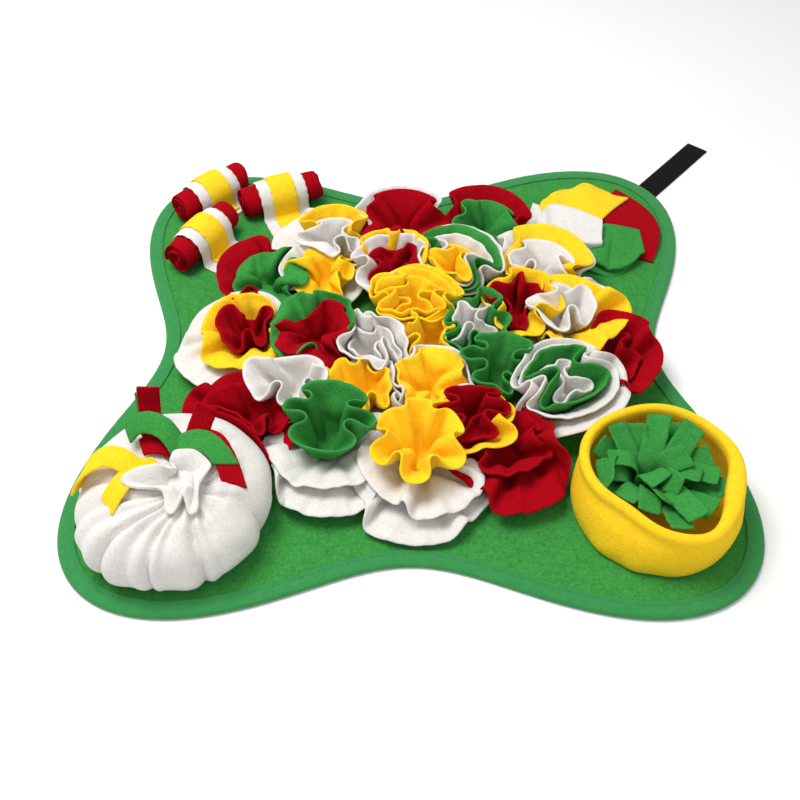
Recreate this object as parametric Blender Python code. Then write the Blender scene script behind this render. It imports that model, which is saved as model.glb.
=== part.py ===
"""Snuffle mat: a four-lobed fleece mat with a bound edge and a webbing strap.

On it are sewn a field of ruffled fleece rounds, three banded rolls, a pocket of four flaps,
a gathered pouch with strip ties, and a soft bowl that holds a tuft of strips.

All sizes are in millimetres, and solid() turns them into metres. The origin is on the floor
under the middle of the mat, +X is the mat's right, +Y its back and +Z up. Headings are in
degrees, anticlockwise from +X.
"""
import math

import bmesh
import bpy
import numpy as np

METRES = 0.001
GAP = 0.35                      # clear air between cloths that touch

# ---- mat, edge binding and strap ---------------------------------------------------------
WAIST_RADIUS = 180.0            # radius that the mat keeps between its lobes
LOBE_TIGHTNESS = 8.4            # how fast a lobe falls back to the waist radius
LOBES = (                       # heading, reach beyond the waist radius
    (46.6, 149.0),
    (133.4, 135.0),
    (222.7, 134.0),
    (317.1, 134.0),
)
OUTLINE_POINTS = 48
MAT_TOP = 3.0
TAPE_WIDTH = 12.0               # binding that shows on the mat's face
TAPE_THICK = 1.0
TAPE_TOP = 4.4
STRAP_WIDTH = 22.0
STRAP_THICK = 1.5
STRAP_HEADING = 49.0
STRAP_START = 302.0             # from the mat's middle to the strap's sewn end
STRAP_END = 428.0
SLOT_DEPTH = 5.0                # the strap's slot is cut from this far below the mat
STRAP_ASIDE = 27.0              # the strap runs this far to the right of the mat's middle

# ---- ruffled rounds ----------------------------------------------------------------------
COLUMNS = 15                    # headings at which a round is drawn
STATIONS = (0.0, 22.0)          # distances out from the sewn spot, before the rim
SEWN_RADIUS = 8.0               # flat sewn spot of the outermost round of a flower
CLOTH = 1.6                     # fleece
LAYER = CLOTH + 0.9             # from one round to the next one inside it
CELL_GAP = 0.6
LOWEST_LEAN = -8.0
STEEPEST_LEAN = 87.0
FOLD_SHARPNESS = 2.2            # over 1, a flower's folds are narrower than its lobes
FLARE = 34.0                    # how much flatter a round is at its rim than at its sewn spot
MAT_FLOOR = MAT_TOP + 0.3

FLOWERS = {                     # middle on the mat x, y, number of folds, heading of one fold
    "back_left": (-74, 130, 4, 38),
    "back_middle": (-5, 150, 4, 48),
    "back_right": (68, 152, 3, 20),
    "upper_left": (-124, 82, 4, 30),
    "upper_gap": (-70, 76, 3, 35),
    "upper_middle": (-14, 94, 4, 42),
    "upper_inner": (44, 94, 3, 28),
    "upper_right": (110, 94, 4, 15),
    "waist_left": (-132, 12, 4, 52),
    "waist_inner": (-78, 12, 3, 30),
    "inner_left": (-30, -4, 4, 40),
    "centre": (4, 44, 5, 18),
    "inner_right": (46, 6, 3, 40),
    "waist_right": (90, 44, 4, 35),
    "edge_right": (146, 36, 4, 60),
    "lower_left": (-122, -80, 4, 20),
    "lower_white": (-88, -46, 3, 25),
    "lower_inner": (-38, -56, 4, 45),
    "lower_middle": (14, -46, 4, 50),
    "lower_cup": (68, -40, 3, 30),
    "lower_right": (122, -40, 4, 45),
    "edge_lower": (170, -24, 3, 60),
    "front_left": (-62, -106, 4, 45),
    "front_middle": (4, -112, 5, 18),
    "front_right": (70, -102, 4, 40),
}

GUARDS = (                      # round things that the flowers keep clear of: x, y, radius
    (-166, -154, 74),
    (175, -149, 62),
    (177, 166, 60),
    (-122, 204, 30),
    (-140, 150, 22),
)

# name, flower, colour, radius, lean, tilt towards a heading, heading, fold depth, curl
ROUNDS = (
    ("round_back_left_outer", "back_left", "white", 58, 40, -14, 130, 18, -8),
    ("round_back_left_inner", "back_left", "yellow", 48, 54, 6, 90, 18, 0),
    ("round_back_middle_outer", "back_middle", "white", 56, 54, 6, 110, 18, 0),
    ("round_back_middle_inner", "back_middle", "red", 48, 52, 6, 90, 20, 0),
    ("round_back_right_outer", "back_right", "red", 60, 46, 12, 90, 21, 0),
    ("round_back_right_inner", "back_right", "green", 46, 52, 10, 110, 25, 0),
    ("round_upper_left_outer", "upper_left", "red", 54, 40, -6, 180, 17, 0),
    ("round_upper_left_inner", "upper_left", "green", 50, 50, 0, 90, 20, -6),
    ("round_upper_gap", "upper_gap", "white", 48, 52, 4, 90, 25, 0),
    ("round_upper_middle", "upper_middle", "white", 54, 54, 4, 90, 20, 0),
    ("round_upper_inner_outer", "upper_inner", "green", 54, 52, 4, 60, 25, 0),
    ("round_upper_inner_inner", "upper_inner", "yellow", 46, 58, 6, 90, 22, 0),
    ("round_upper_right_outer", "upper_right", "yellow", 58, 40, 0, 60, 17, 0),
    ("round_upper_right_inner", "upper_right", "white", 46, 50, 4, 60, 18, 0),
    ("round_waist_left_outer", "waist_left", "white", 60, 26, -8, 190, 14, -6),
    ("round_waist_left_inner", "waist_left", "yellow", 52, 42, -4, 190, 17, 0),
    ("round_waist_inner_outer", "waist_inner", "green", 52, 52, 4, 90, 25, 0),
    ("round_waist_inner_inner", "waist_inner", "red", 42, 58, 4, 90, 25, 0),
    ("round_inner_left", "inner_left", "white", 46, 52, 4, 90, 22, 0),
    ("round_centre", "centre", "yellow", 52, 48, 6, 90, 24, 0),
    ("round_inner_right", "inner_right", "green", 48, 52, 4, 60, 28, 0),
    ("round_waist_right", "waist_right", "yellow", 50, 48, 4, 90, 20, 0),
    ("round_edge_right", "edge_right", "white", 58, 32, -10, 10, 15, 0),
    ("round_lower_left", "lower_left", "red", 60, 40, -6, 300, 18, 0),
    ("round_lower_white", "lower_white", "white", 50, 50, 4, 90, 25, 0),
    ("round_lower_inner", "lower_inner", "yellow", 46, 52, 2, 90, 22, 0),
    ("round_lower_middle", "lower_middle", "yellow", 48, 50, 4, 90, 22, 0),
    ("round_lower_cup", "lower_cup", "green", 50, 50, 4, 90, 28, 0),
    ("round_lower_right_outer", "lower_right", "white", 58, 40, 14, 100, 15, 0),
    ("round_lower_right_inner", "lower_right", "green", 48, 50, 6, 90, 18, 0),
    ("round_edge_lower", "edge_lower", "red", 52, 32, -4, 0, 21, 0),
    ("round_front_left_outer", "front_left", "white", 60, 30, 18, 90, 14, -10),
    ("round_front_left_inner", "front_left", "green", 50, 58, 0, 90, 17, 0),
    ("round_front_middle_outer", "front_middle", "white", 60, 26, 20, 90, 10, -4),
    ("round_front_middle_inner", "front_middle", "yellow", 52, 46, 12, 90, 20, -6),
    ("round_front_right_outer", "front_right", "red", 58, 32, 14, 90, 15, -4),
)



# ---- rolls -------------------------------------------------------------------------------
ROLLS = (                       # name, middle x, y, heading of the axis, tail length
    ("roll_rear", -188, 205, 47.0, 7.0),
    ("roll_right", -122, 202, 24.0, 26.0),
    ("roll_front", -187, 139, 60.0, 34.0),
)
ROLL_LENGTH = 76.0
ROLL_RADIUS = 15.0
ROLL_SIDES = 16
BAND_WIDTHS = (("white", 46.0), ("yellow", 24.0))
BAND_THICK = 1.4
BAND_START = 215.0              # bands start here, on the roll's rear underside
BAND_FOOT = 5.0                 # radius of the bend from the roll to the tail
BAND_STEPS = 9

# ---- pocket ------------------------------------------------------------------------------
POCKET_CENTRE = (177.0, 166.0)
POCKET_RADIUS = 72.0
POCKET_RISE = 22.0
FLAP_THICK = 1.8
FLAP_STEP = 3.0                 # from one layer of flaps to the next
FLAP_CELLS = 5
# name, layer, bow of the sewn edge, then the corners: sewn start, sewn end, free end, free start
FLAPS = (
    ("flap_red", 0, -22.0, (204, 228), (223, 126), (190, 136), (176, 186)),
    ("flap_yellow", 1, -8.0, (134, 222), (206, 224), (178, 160), (122, 190)),
    ("flap_green", 1, 12.0, (142, 110), (220, 122), (214, 158), (180, 158)),
    ("flap_white", 2, 6.0, (118, 192), (138, 108), (176, 130), (181, 163)),
)

# ---- pouch and ties ----------------------------------------------------------------------
POUCH_MIDDLE = (-166.0, -154.0)
POUCH_NECK = (-153.0, -168.0)
POUCH_COLUMNS = 26
POUCH_PLEATS = 13
POUCH_LONG = 1.05               # the pouch is this much longer from front to back
# height, radius, pleat depth, share of the way from the middle to the neck
POUCH_RINGS = (
    (MAT_FLOOR, 54.0, 0.00, 0.0),
    (10.0, 63.0, 0.02, 0.0),
    (25.0, 66.5, 0.04, 0.0),
    (40.0, 61.0, 0.05, 0.08),
    (50.0, 47.0, 0.06, 0.3),
    (54.0, 30.0, 0.08, 0.7),
    (53.0, 13.0, 0.08, 1.0),
    (59.0, 15.0, 0.10, 1.0),
    (64.0, 25.0, 0.14, 1.0),
    (69.0, 24.0, 0.16, 1.0),
)
POUCH_TOP = 61.0
TIE_WIDTH = 15.0
TIE_THICK = 2.0

# ---- bowl and tuft -----------------------------------------------------------------------
BOWL_MIDDLE = (175.0, -149.0)
BOWL_COLUMNS = 22
# height, radius, share of the rim's dents that the ring takes
BOWL_RINGS = (
    (MAT_FLOOR, 57.0, 0.0),
    (14.0, 60.5, 0.0),
    (34.0, 60.0, 0.5),
    (46.0, 59.0, 1.0),
    (49.5, 56.0, 1.0),
    (46.0, 53.0, 1.0),
    (32.0, 54.0, 0.5),
    (9.0, 53.5, 0.0),
    (5.2, 51.0, 0.0),
)
BOWL_FLOOR = 5.2
BOWL_DENTS = (                  # heading, depth, half width of each dent in the rim
    (236.0, 9.0, 34.0),
    (330.0, 3.0, 25.0),
)
TUFT_MIDDLE = (173.0, -147.0)
TUFT_STRIPS = 9
TUFT_WIDTH = 15.0
TUFT_THICK = 2.0
TUFT_LENGTH = 48.0
TUFT_HUB = 7.0
HUB_HEIGHT = 11.6
TUFT_STAGGER = 0.57             # each strip starts this much higher than the one before
TUFT_BEND = math.radians(16)    # how far a strip has drooped at its end

COLOURS = {                     # base colour, roughness
    "green": ((0.045, 0.33, 0.065), 0.95),
    "tape": ((0.035, 0.33, 0.11), 0.9),
    "white": ((0.82, 0.79, 0.76), 0.95),
    "yellow": ((0.98, 0.60, 0.015), 0.95),
    "red": ((0.45, 0.004, 0.012), 0.95),
    "black": ((0.01, 0.01, 0.012), 0.8),
}


# ---- shared helpers ----------------------------------------------------------------------
def material(colour):
    """Return the cloth material of one colour, made on first use."""
    name = "cloth_" + colour
    if name in bpy.data.materials:
        return bpy.data.materials[name]
    base, rough = COLOURS[colour]
    made = bpy.data.materials.new(name)
    made.use_nodes = True
    shader = made.node_tree.nodes["Principled BSDF"]
    shader.inputs["Base Color"].default_value = (*base, 1.0)
    shader.inputs["Roughness"].default_value = rough
    shader.inputs["Metallic"].default_value = 0.0
    made.diffuse_color = (*base, 1.0)
    return made


def solid(name, points, faces, colour):
    """Make one closed mesh object from points in millimetres."""
    mesh = bpy.data.meshes.new(name)
    mesh.from_pydata([tuple(METRES * value for value in point) for point in points], [], faces)
    mesh.update()
    thing = bpy.data.objects.new(name, mesh)
    bpy.data.collections["snuffle_mat"].objects.link(thing)
    mesh.materials.append(material(colour))
    return thing


def dress(name, colour):
    """Name the primitive that was just added, colour it and put it with the parts."""
    thing = bpy.context.object
    thing.name = thing.data.name = name
    bpy.ops.object.transform_apply(location=False, rotation=False, scale=True)
    for group in list(thing.users_collection):
        group.objects.unlink(thing)
    bpy.data.collections["snuffle_mat"].objects.link(thing)
    thing.data.materials.append(material(colour))
    return thing


def block(name, middle, size, heading, colour):
    """Make a box of a size, turned to a heading about the vertical."""
    bpy.ops.mesh.primitive_cube_add(size=1.0, location=[METRES * value for value in middle],
                                    rotation=(0.0, 0.0, math.radians(heading)))
    bpy.context.object.scale = [METRES * value for value in size]
    return dress(name, colour)


def rod(name, middle, radius, length, sides, rotation, colour):
    """Make a cylinder about its own Z axis, turned by rotation."""
    bpy.ops.mesh.primitive_cylinder_add(vertices=sides, radius=METRES * radius, depth=METRES * length,
                                        location=[METRES * value for value in middle],
                                        rotation=rotation)
    return dress(name, colour)


def loft(name, rings, colour, start=None, end=None, turn_at=None, hoop=False):
    """Skin a row of rings that run anticlockwise seen from above, from the underside out.

    start and end are points that close the first and the last ring, which are closed by
    one flat face where there is none. hoop joins the last ring to the first. From ring
    turn_at on, the faces are split the other way, so that the two sides of a cloth match.
    """
    count = len(rings[0])
    points = [tuple(point) for ring in rings for point in ring]
    faces = []
    pairs = [(row, row + 1) for row in range(len(rings) - 1)]
    if hoop:
        pairs.append((len(rings) - 1, 0))
    for low, high in pairs:
        for here in range(count):
            after = (here + 1) % count
            a, b = low * count + here, low * count + after
            c, d = high * count + after, high * count + here
            if turn_at is not None and low >= turn_at:
                faces += [(a, b, d), (b, c, d)]
            else:
                faces += [(a, b, c), (a, c, d)]
    if not hoop:
        close_ring(points, faces, 0, count, start, False)
        close_ring(points, faces, (len(rings) - 1) * count, count, end, True)
    return solid(name, points, faces, colour)


def close_ring(points, faces, first, count, pole, upward):
    """Close a ring of a loft, with a fan to its pole or with one flat face."""
    ring = list(range(first, first + count))
    if pole is None:
        faces.append(tuple(ring if upward else reversed(ring)))
        return
    points.append(tuple(pole))
    tip = len(points) - 1
    for here in range(count):
        a, b = ring[here], ring[(here + 1) % count]
        faces.append((a, b, tip) if upward else (b, a, tip))


def ribbon(name, path, sides, width, thick, colour):
    """Make a flat strip of cloth along a path, sides being its direction across."""
    path = np.array(path, float)
    along = np.gradient(path, axis=0)
    rings = []
    for point, way, side in zip(path, along, np.array(sides, float)):
        way = way / np.linalg.norm(way)
        side = side - way * side.dot(way)
        side = side / np.linalg.norm(side) * width / 2
        lift = np.cross(way, side)
        lift = lift / np.linalg.norm(lift) * thick / 2
        rings.append([point - side - lift, point + side - lift, point + side + lift, point - side + lift])
    made = loft(name, rings, colour)
    point_outward(made)
    return made


def point_outward(thing):
    """Turn every face of a closed mesh outward."""
    shape = bmesh.new()
    shape.from_mesh(thing.data)
    bmesh.ops.recalc_face_normals(shape, faces=shape.faces)
    shape.to_mesh(thing.data)
    shape.free()


def curve_through(points, steps):
    """Return a smooth open curve through hand-set points, with steps to each span."""
    points = [np.array(point, float) for point in points]
    points = [2 * points[0] - points[1], *points, 2 * points[-1] - points[-2]]
    smooth = []
    for p0, p1, p2, p3 in zip(points, points[1:], points[2:], points[3:]):
        for step in range(steps):
            t = step / steps
            smooth.append(0.5 * (2 * p1 + (p2 - p0) * t + (2 * p0 - 5 * p1 + 4 * p2 - p3) * t ** 2
                                 + (3 * p1 - p0 - 3 * p2 + p3) * t ** 3))
    smooth.append(points[-2])
    return smooth


def cut(thing, cutter):
    """Cut one object out of another with a Boolean that stays on it."""
    move_to_cutters(cutter)
    modifier = thing.modifiers.new("cut_" + cutter.name, "BOOLEAN")
    modifier.operation = "DIFFERENCE"
    modifier.object = cutter


def join(thing, other):
    """Join another shape to an object with a Boolean union that stays on it."""
    move_to_cutters(other)
    modifier = thing.modifiers.new("join_" + other.name, "BOOLEAN")
    modifier.operation = "UNION"
    modifier.solver = "MANIFOLD"
    modifier.object = other


def move_to_cutters(thing):
    """Keep a helper shape out of the model and out of renders."""
    bpy.data.collections["snuffle_mat"].objects.unlink(thing)
    bpy.data.collections["cutters"].objects.link(thing)
    thing.hide_render = True
    thing.display_type = "WIRE"


# ---- mat ---------------------------------------------------------------------------------
def edge_radius(heading):
    """Return the mat's radius at a heading in degrees."""
    lobes = (reach * math.exp(LOBE_TIGHTNESS * (math.cos(math.radians(heading - lobe)) - 1))
             for lobe, reach in LOBES)
    return WAIST_RADIUS + sum(lobes)


def outline(inset):
    """Return the mat's outline, evenly stepped and moved inward by inset."""
    fine = np.radians(np.linspace(0, 360, 1441))
    reach = np.array([edge_radius(math.degrees(angle)) for angle in fine])
    edge = np.column_stack([reach * np.cos(fine), reach * np.sin(fine)])
    run = np.concatenate([[0], np.cumsum(np.linalg.norm(np.diff(edge, axis=0), axis=1))])
    marks = np.linspace(0, run[-1], OUTLINE_POINTS, endpoint=False)
    even = np.column_stack([np.interp(marks, run, edge[:, axis]) for axis in (0, 1)])
    along = np.roll(even, -1, axis=0) - np.roll(even, 1, axis=0)
    along /= np.linalg.norm(along, axis=1)[:, None]
    outward = np.column_stack([along[:, 1], -along[:, 0]])
    return even - inset * outward


def outline_ring(inset, height):
    """Return one ring of the mat or its binding."""
    return [(x, y, height) for x, y in outline(inset)]


def build_mat():
    """Make the mat, thinned inside its binding, the binding, and the strap under one lobe."""
    thin = TAPE_THICK + 0.3
    tuck = TAPE_THICK + 0.4
    rings = [outline_ring(inset, height) for inset, height in (
        (TAPE_WIDTH + 0.4, 0.0), (TAPE_WIDTH + 0.4, thin), (tuck, thin), (tuck, MAT_TOP))]
    mat = loft("mat_base", rings, "green")
    roof = TAPE_TOP - TAPE_THICK
    section = ((TAPE_WIDTH, 0.0), (0.0, 0.0), (0.0, TAPE_TOP), (TAPE_WIDTH, TAPE_TOP),
               (TAPE_WIDTH, roof), (TAPE_THICK, roof), (TAPE_THICK, TAPE_THICK),
               (TAPE_WIDTH, TAPE_THICK))
    tape = loft("edge_binding", [outline_ring(*spot) for spot in section], "tape", hoop=True)
    strap = strap_block("strap", 0.0)
    for cloth in (mat, tape):
        cut(cloth, strap_block("strap_slot_" + cloth.name, GAP))
    return strap


def strap_block(name, room):
    """Make the webbing strap on the floor, or the slot for it with room all round."""
    turn = math.radians(STRAP_HEADING)
    run = (STRAP_START + STRAP_END) / 2
    low = -SLOT_DEPTH if room else 0.0
    high = STRAP_THICK + room
    middle = (run * math.cos(turn) + STRAP_ASIDE * math.sin(turn),
              run * math.sin(turn) - STRAP_ASIDE * math.cos(turn), (low + high) / 2)
    size = (STRAP_END - STRAP_START + 2 * room, STRAP_WIDTH + 2 * room, high - low)
    return block(name, middle, size, STRAP_HEADING, "black")


# ---- ruffled rounds ----------------------------------------------------------------------
def cell_limit(flower, heading):
    """Return how far a flower may spread at a heading before it meets a neighbour."""
    here = np.array(FLOWERS[flower][:2], float)
    way = np.array([math.cos(math.radians(heading)), math.sin(math.radians(heading))])
    limit = 1000.0
    for name, row in FLOWERS.items():
        apart = np.array(row[:2], float) - here
        facing = apart.dot(way)
        if name != flower and facing > 0:
            limit = min(limit, (apart.dot(apart) / 2 - CELL_GAP * np.linalg.norm(apart)) / facing)
    for x, y, radius in GUARDS:
        apart = np.array([x, y], float) - here
        distance = np.linalg.norm(apart)
        facing = apart.dot(way) / distance
        if facing > 0:
            limit = min(limit, (distance - radius - CELL_GAP) / facing)
    return limit


def fold_at(flower, heading):
    """Return how far a flower's cloth is folded in at a heading, from -1 on a lobe to 1."""
    folds, way = FLOWERS[flower][2:]
    wave = math.cos(math.radians(folds * (heading - way)))
    return 2 * ((1 + wave) / 2) ** FOLD_SHARPNESS - 1


def lean_at(row, heading, share):
    """Return a round's lean from the mat, in degrees, at a heading and a share of its radius."""
    _, flower, _, _, lean, tilt, way, depth, curl = row
    return (lean + tilt * math.cos(math.radians(heading - way))
            + depth * fold_at(flower, heading) * (0.4 + 0.8 * share)
            + (curl - FLARE) * (2 * share - 1))


def profile(row, level, heading, below):
    """Return a round's underside at one heading: its points out from the middle, and leans.

    below holds the leans of the round outside this one, which this one never goes under.
    """
    radius = float(row[3])
    limit = cell_limit(row[1], heading) - level * LAYER
    reach, height = SEWN_RADIUS - level * LAYER, MAT_FLOOR + level * LAYER
    stops = [*STATIONS, radius - reach]
    points, leans = [(reach, height)], []
    for number, (near, far) in enumerate(zip(stops, stops[1:])):
        step = far - near
        lean = lean_at(row, heading, (near + far) / 2 / stops[-1])
        lean = min(max(lean, LOWEST_LEAN), STEEPEST_LEAN)
        if below:
            lean = max(lean, below[number])
        if height + step * math.sin(math.radians(lean)) < MAT_FLOOR + level * LAYER:
            lean = 0.0
        room = max(limit - reach, 0.0)
        if step * math.cos(math.radians(lean)) > room:
            lean = math.degrees(math.acos(min(room / step, 1.0)))
            lean = max(lean, below[number]) if below else lean
        leans.append(lean)
        reach += step * math.cos(math.radians(lean))
        height += step * math.sin(math.radians(lean))
        points.append((reach, height))
    return points, leans


def thicken(points, leans):
    """Return the upper side of a profile, one cloth thickness off its underside."""
    upper = []
    ends = [0.0, *leans, leans[-1]]
    for (reach, height), before, after in zip(points, ends, ends[1:]):
        middle = math.radians((before + after) / 2)
        off = CLOTH / math.cos(math.radians(after - before) / 2)
        upper.append((reach - off * math.sin(middle), height + off * math.cos(middle)))
    return upper


def build_rounds():
    """Make every ruffled round, the outer one of each flower first."""
    lean_below = {}
    levels = {}
    for row in ROUNDS:
        name, flower, colour = row[:3]
        level = levels.get(flower, 0)
        levels[flower] = level + 1
        x, y = FLOWERS[flower][:2]
        lower, upper = [], []
        for column in range(COLUMNS):
            heading = FLOWERS[flower][3] + 360.0 * column / COLUMNS
            points, leans = profile(row, level, heading, lean_below.get((flower, column)))
            lean_below[flower, column] = leans
            way = (math.cos(math.radians(heading)), math.sin(math.radians(heading)))
            for side, run in ((lower, points), (upper, thicken(points, leans))):
                side.append([(x + reach * way[0], y + reach * way[1], height) for reach, height in run])
        under = [list(ring) for ring in zip(*lower)]
        over = [list(ring) for ring in zip(*upper)][::-1]
        floor = MAT_FLOOR + level * LAYER
        loft(name, under + over, colour, start=(x, y, floor), end=(x, y, floor + CLOTH),
             turn_at=len(under))


# ---- rolls -------------------------------------------------------------------------------
def band_path(layer):
    """Return a band's middle line across the roll: distance forward of the axis, height."""
    offset = ROLL_RADIUS + GAP + BAND_THICK / 2 + layer * (BAND_THICK + GAP)
    axis_height = MAT_FLOOR + ROLL_RADIUS
    path = []
    for step in range(BAND_STEPS):
        angle = math.radians(BAND_START * (1 - step / (BAND_STEPS - 1)))
        path.append((offset * math.cos(angle), axis_height + offset * math.sin(angle)))
    foot = BAND_FOOT - layer * (BAND_THICK + GAP) + BAND_THICK / 2
    bottom = MAT_FLOOR + BAND_THICK / 2 + layer * (BAND_THICK + GAP)
    for angle in (180, 215, 270):
        turn = math.radians(angle)
        path.append((offset + foot + foot * math.cos(turn), bottom + foot + foot * math.sin(turn)))
    return path


def build_roll(name, x, y, heading, tail):
    """Make one roll: a red core, and a white and a yellow band that run on into a tail."""
    along = np.array([math.cos(math.radians(heading)), math.sin(math.radians(heading)), 0])
    forward = np.array([along[1], -along[0], 0])
    middle = np.array([x, y, 0.0])
    flat = math.cos(math.pi / ROLL_SIDES)
    rod(name + "_core", (x, y, MAT_FLOOR + ROLL_RADIUS * flat), ROLL_RADIUS, ROLL_LENGTH, ROLL_SIDES,
        (math.pi / 2, math.pi / ROLL_SIDES, math.radians(heading + 90)), "red")
    for layer, (colour, width) in enumerate(BAND_WIDTHS):
        path = band_path(layer)
        path.append((path[-1][0] + tail - 4.0 * layer, path[-1][1]))
        line = [middle + forward * out + (0, 0, height) for out, height in path]
        ribbon(f"{name}_{colour}", line, [along] * len(line), width, BAND_THICK, colour)


# ---- pocket ------------------------------------------------------------------------------
def pocket_rise(x, y):
    """Return how far the pocket's flaps stand off the mat at a point."""
    away = math.hypot(x - POCKET_CENTRE[0], y - POCKET_CENTRE[1]) / POCKET_RADIUS
    return POCKET_RISE * max(1 - away ** 2, 0.0) ** 2


def build_flap(name, layer, bow, sewn_start, sewn_end, free_end, free_start):
    """Make one flap of the pocket, as a patch between four corners with a bowed sewn edge.

    The sewn edge lies on the mat between its corners, which rest on the flaps below.
    """
    corners = [np.array(spot, float) for spot in (sewn_start, sewn_end, free_end, free_start)]
    chord = corners[1] - corners[0]
    outward = np.array([chord[1], -chord[0]]) / np.linalg.norm(chord)
    count = FLAP_CELLS + 1
    points = []
    for lift in (0.0, FLAP_THICK):
        for row in range(count):
            v = row / FLAP_CELLS
            for column in range(count):
                u = column / FLAP_CELLS
                spot = ((corners[0] * (1 - u) + corners[1] * u) * (1 - v)
                        + (corners[3] * (1 - u) + corners[2] * u) * v
                        + outward * bow * math.sin(math.pi * u) * (1 - v))
                sewn = row == 0 and 0 < column < FLAP_CELLS
                level = MAT_FLOOR + (0 if sewn else layer * FLAP_STEP)
                points.append((*spot, level + lift + pocket_rise(*spot)))
    faces = []
    for base, over in ((0, False), (count * count, True)):
        for row in range(FLAP_CELLS):
            for column in range(FLAP_CELLS):
                a = base + row * count + column
                quad = (a, a + 1, a + count + 1, a + count)
                faces += [quad[:3], (quad[0], quad[2], quad[3])]
    rim = ([column for column in range(FLAP_CELLS)]
           + [row * count + FLAP_CELLS for row in range(FLAP_CELLS)]
           + [FLAP_CELLS * count + column for column in range(FLAP_CELLS, 0, -1)]
           + [row * count for row in range(FLAP_CELLS, 0, -1)])
    for here, after in zip(rim, rim[1:] + rim[:1]):
        up = count * count
        faces += [(here, after, after + up), (here, after + up, here + up)]
    point_outward(solid(name, points, faces, name.split("_")[1]))


# ---- pouch and ties ----------------------------------------------------------------------
def pouch_ring(height, radius, pleat, share):
    """Return one level of the pouch, drawn in at its pleats."""
    x = POUCH_MIDDLE[0] + share * (POUCH_NECK[0] - POUCH_MIDDLE[0])
    y = POUCH_MIDDLE[1] + share * (POUCH_NECK[1] - POUCH_MIDDLE[1])
    ring = []
    for column in range(POUCH_COLUMNS):
        turn = 2 * math.pi * column / POUCH_COLUMNS
        out = radius * (1 + pleat * math.cos(POUCH_PLEATS * turn))
        ring.append((x + out * math.cos(turn), y + out * POUCH_LONG * math.sin(turn), height))
    return ring


def build_pouch():
    """Make the gathered pouch as one filled solid with its pleats, neck and open frill."""
    rings = [pouch_ring(*row) for row in POUCH_RINGS]
    loft("pouch", rings, "white", end=(*POUCH_NECK, POUCH_TOP))


TIES = {                        # colour, direction across, then points along each strip
    "tie_yellow": ("yellow", (-0.4, 0.8, 0.2), (
        (-175, -157, 57.6), (-188, -150, 61), (-207, -148, 59), (-225, -159, 49), (-236, -172, 39))),
    "tie_green": ("green", (0.0, 1.0, 0.3), (
        (-199, -137, 66), (-188, -131, 73), (-172, -133, 73), (-156, -130, 70.4),
        (-141, -133, 73), (-128, -138, 72), (-118, -151, 64))),
    "tie_red_hanging": ("red", (0.0, 1.0, 0.2), (
        (-181, -137, 58), (-171, -138, 60), (-156, -139, 61), (-138, -141, 61),
        (-120, -150, 58), (-112, -166, 51))),
    "tie_red_left": ("red", (1.0, 0.0, 0.0), (
        (-176, -127, 54.5), (-178, -118, 57), (-180, -110, 66), (-181, -104, 82))),
    "tie_red_right": ("red", (1.0, 0.0, 0.0), (
        (-146, -128, 54.5), (-145, -119, 57), (-143, -112, 64), (-142, -108, 78))),
}
SECOND_END = (                  # the yellow strip's other end: direction across, points
    (0.7, -0.6, 0.0), ((-176, -159, 57.6), (-184, -173, 59), (-195, -182, 57), (-202, -192, 51)))


def build_ties():
    """Make the strips that tie the pouch's neck, with their free ends."""
    for name, (colour, across, points) in TIES.items():
        path = curve_through(points, 2)
        ribbon(name, path, [across] * len(path), TIE_WIDTH, TIE_THICK, colour)
    across, points = SECOND_END
    path = curve_through(points, 2)
    end = ribbon("tie_yellow_end", path, [across] * len(path), TIE_WIDTH, TIE_THICK, "yellow")
    join(bpy.data.objects["tie_yellow"], end)


# ---- bowl and tuft -----------------------------------------------------------------------
def bowl_ring(height, radius, share):
    """Return one level of the bowl's wall, pushed in at the rim's dents."""
    ring = []
    for column in range(BOWL_COLUMNS):
        heading = 360.0 * column / BOWL_COLUMNS
        out = radius
        for way, depth, width in BOWL_DENTS:
            off = (heading - way + 180) % 360 - 180
            out -= share * depth * math.exp(-(off / width) ** 2)
        turn = math.radians(heading)
        ring.append((BOWL_MIDDLE[0] + out * math.cos(turn), BOWL_MIDDLE[1] + out * math.sin(turn), height))
    return ring


def build_bowl():
    """Make the soft bowl: a doubled wall with a rounded rim on a thin floor."""
    rings = [bowl_ring(*row) for row in BOWL_RINGS]
    loft("bowl", rings, "yellow", end=(*BOWL_MIDDLE, BOWL_FLOOR))


def tuft_strip(number):
    """Make one strip of the tuft, fanned out from the hub."""
    heading = math.radians(number * 137.5)
    lean = math.radians(38 + 20 * (number % 3))
    way = np.array([math.cos(heading), math.sin(heading), 0.0])
    side = np.array([-way[1], way[0], 0.0])
    base = np.array([*TUFT_MIDDLE, BOWL_FLOOR + 3.0 + TUFT_STAGGER * number]) - 3.0 * way
    path = []
    for share in (0.0, 0.6, 1.0):
        run = TUFT_LENGTH * share
        bend = lean - TUFT_BEND * share
        path.append(base + way * (run * math.cos(bend)) + (0, 0, run * math.sin(bend)))
    return ribbon(f"tuft_strip_{number}", path, [side] * len(path), TUFT_WIDTH, TUFT_THICK, "green")


def build_tuft():
    """Make the tuft: a hub and its strips as one body."""
    middle = (*TUFT_MIDDLE, BOWL_FLOOR + GAP + HUB_HEIGHT / 2)
    hub = rod("strip_tuft", middle, TUFT_HUB, HUB_HEIGHT, 10, (0.0, 0.0, math.radians(13)), "green")
    for number in range(TUFT_STRIPS):
        join(hub, tuft_strip(number))


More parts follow.
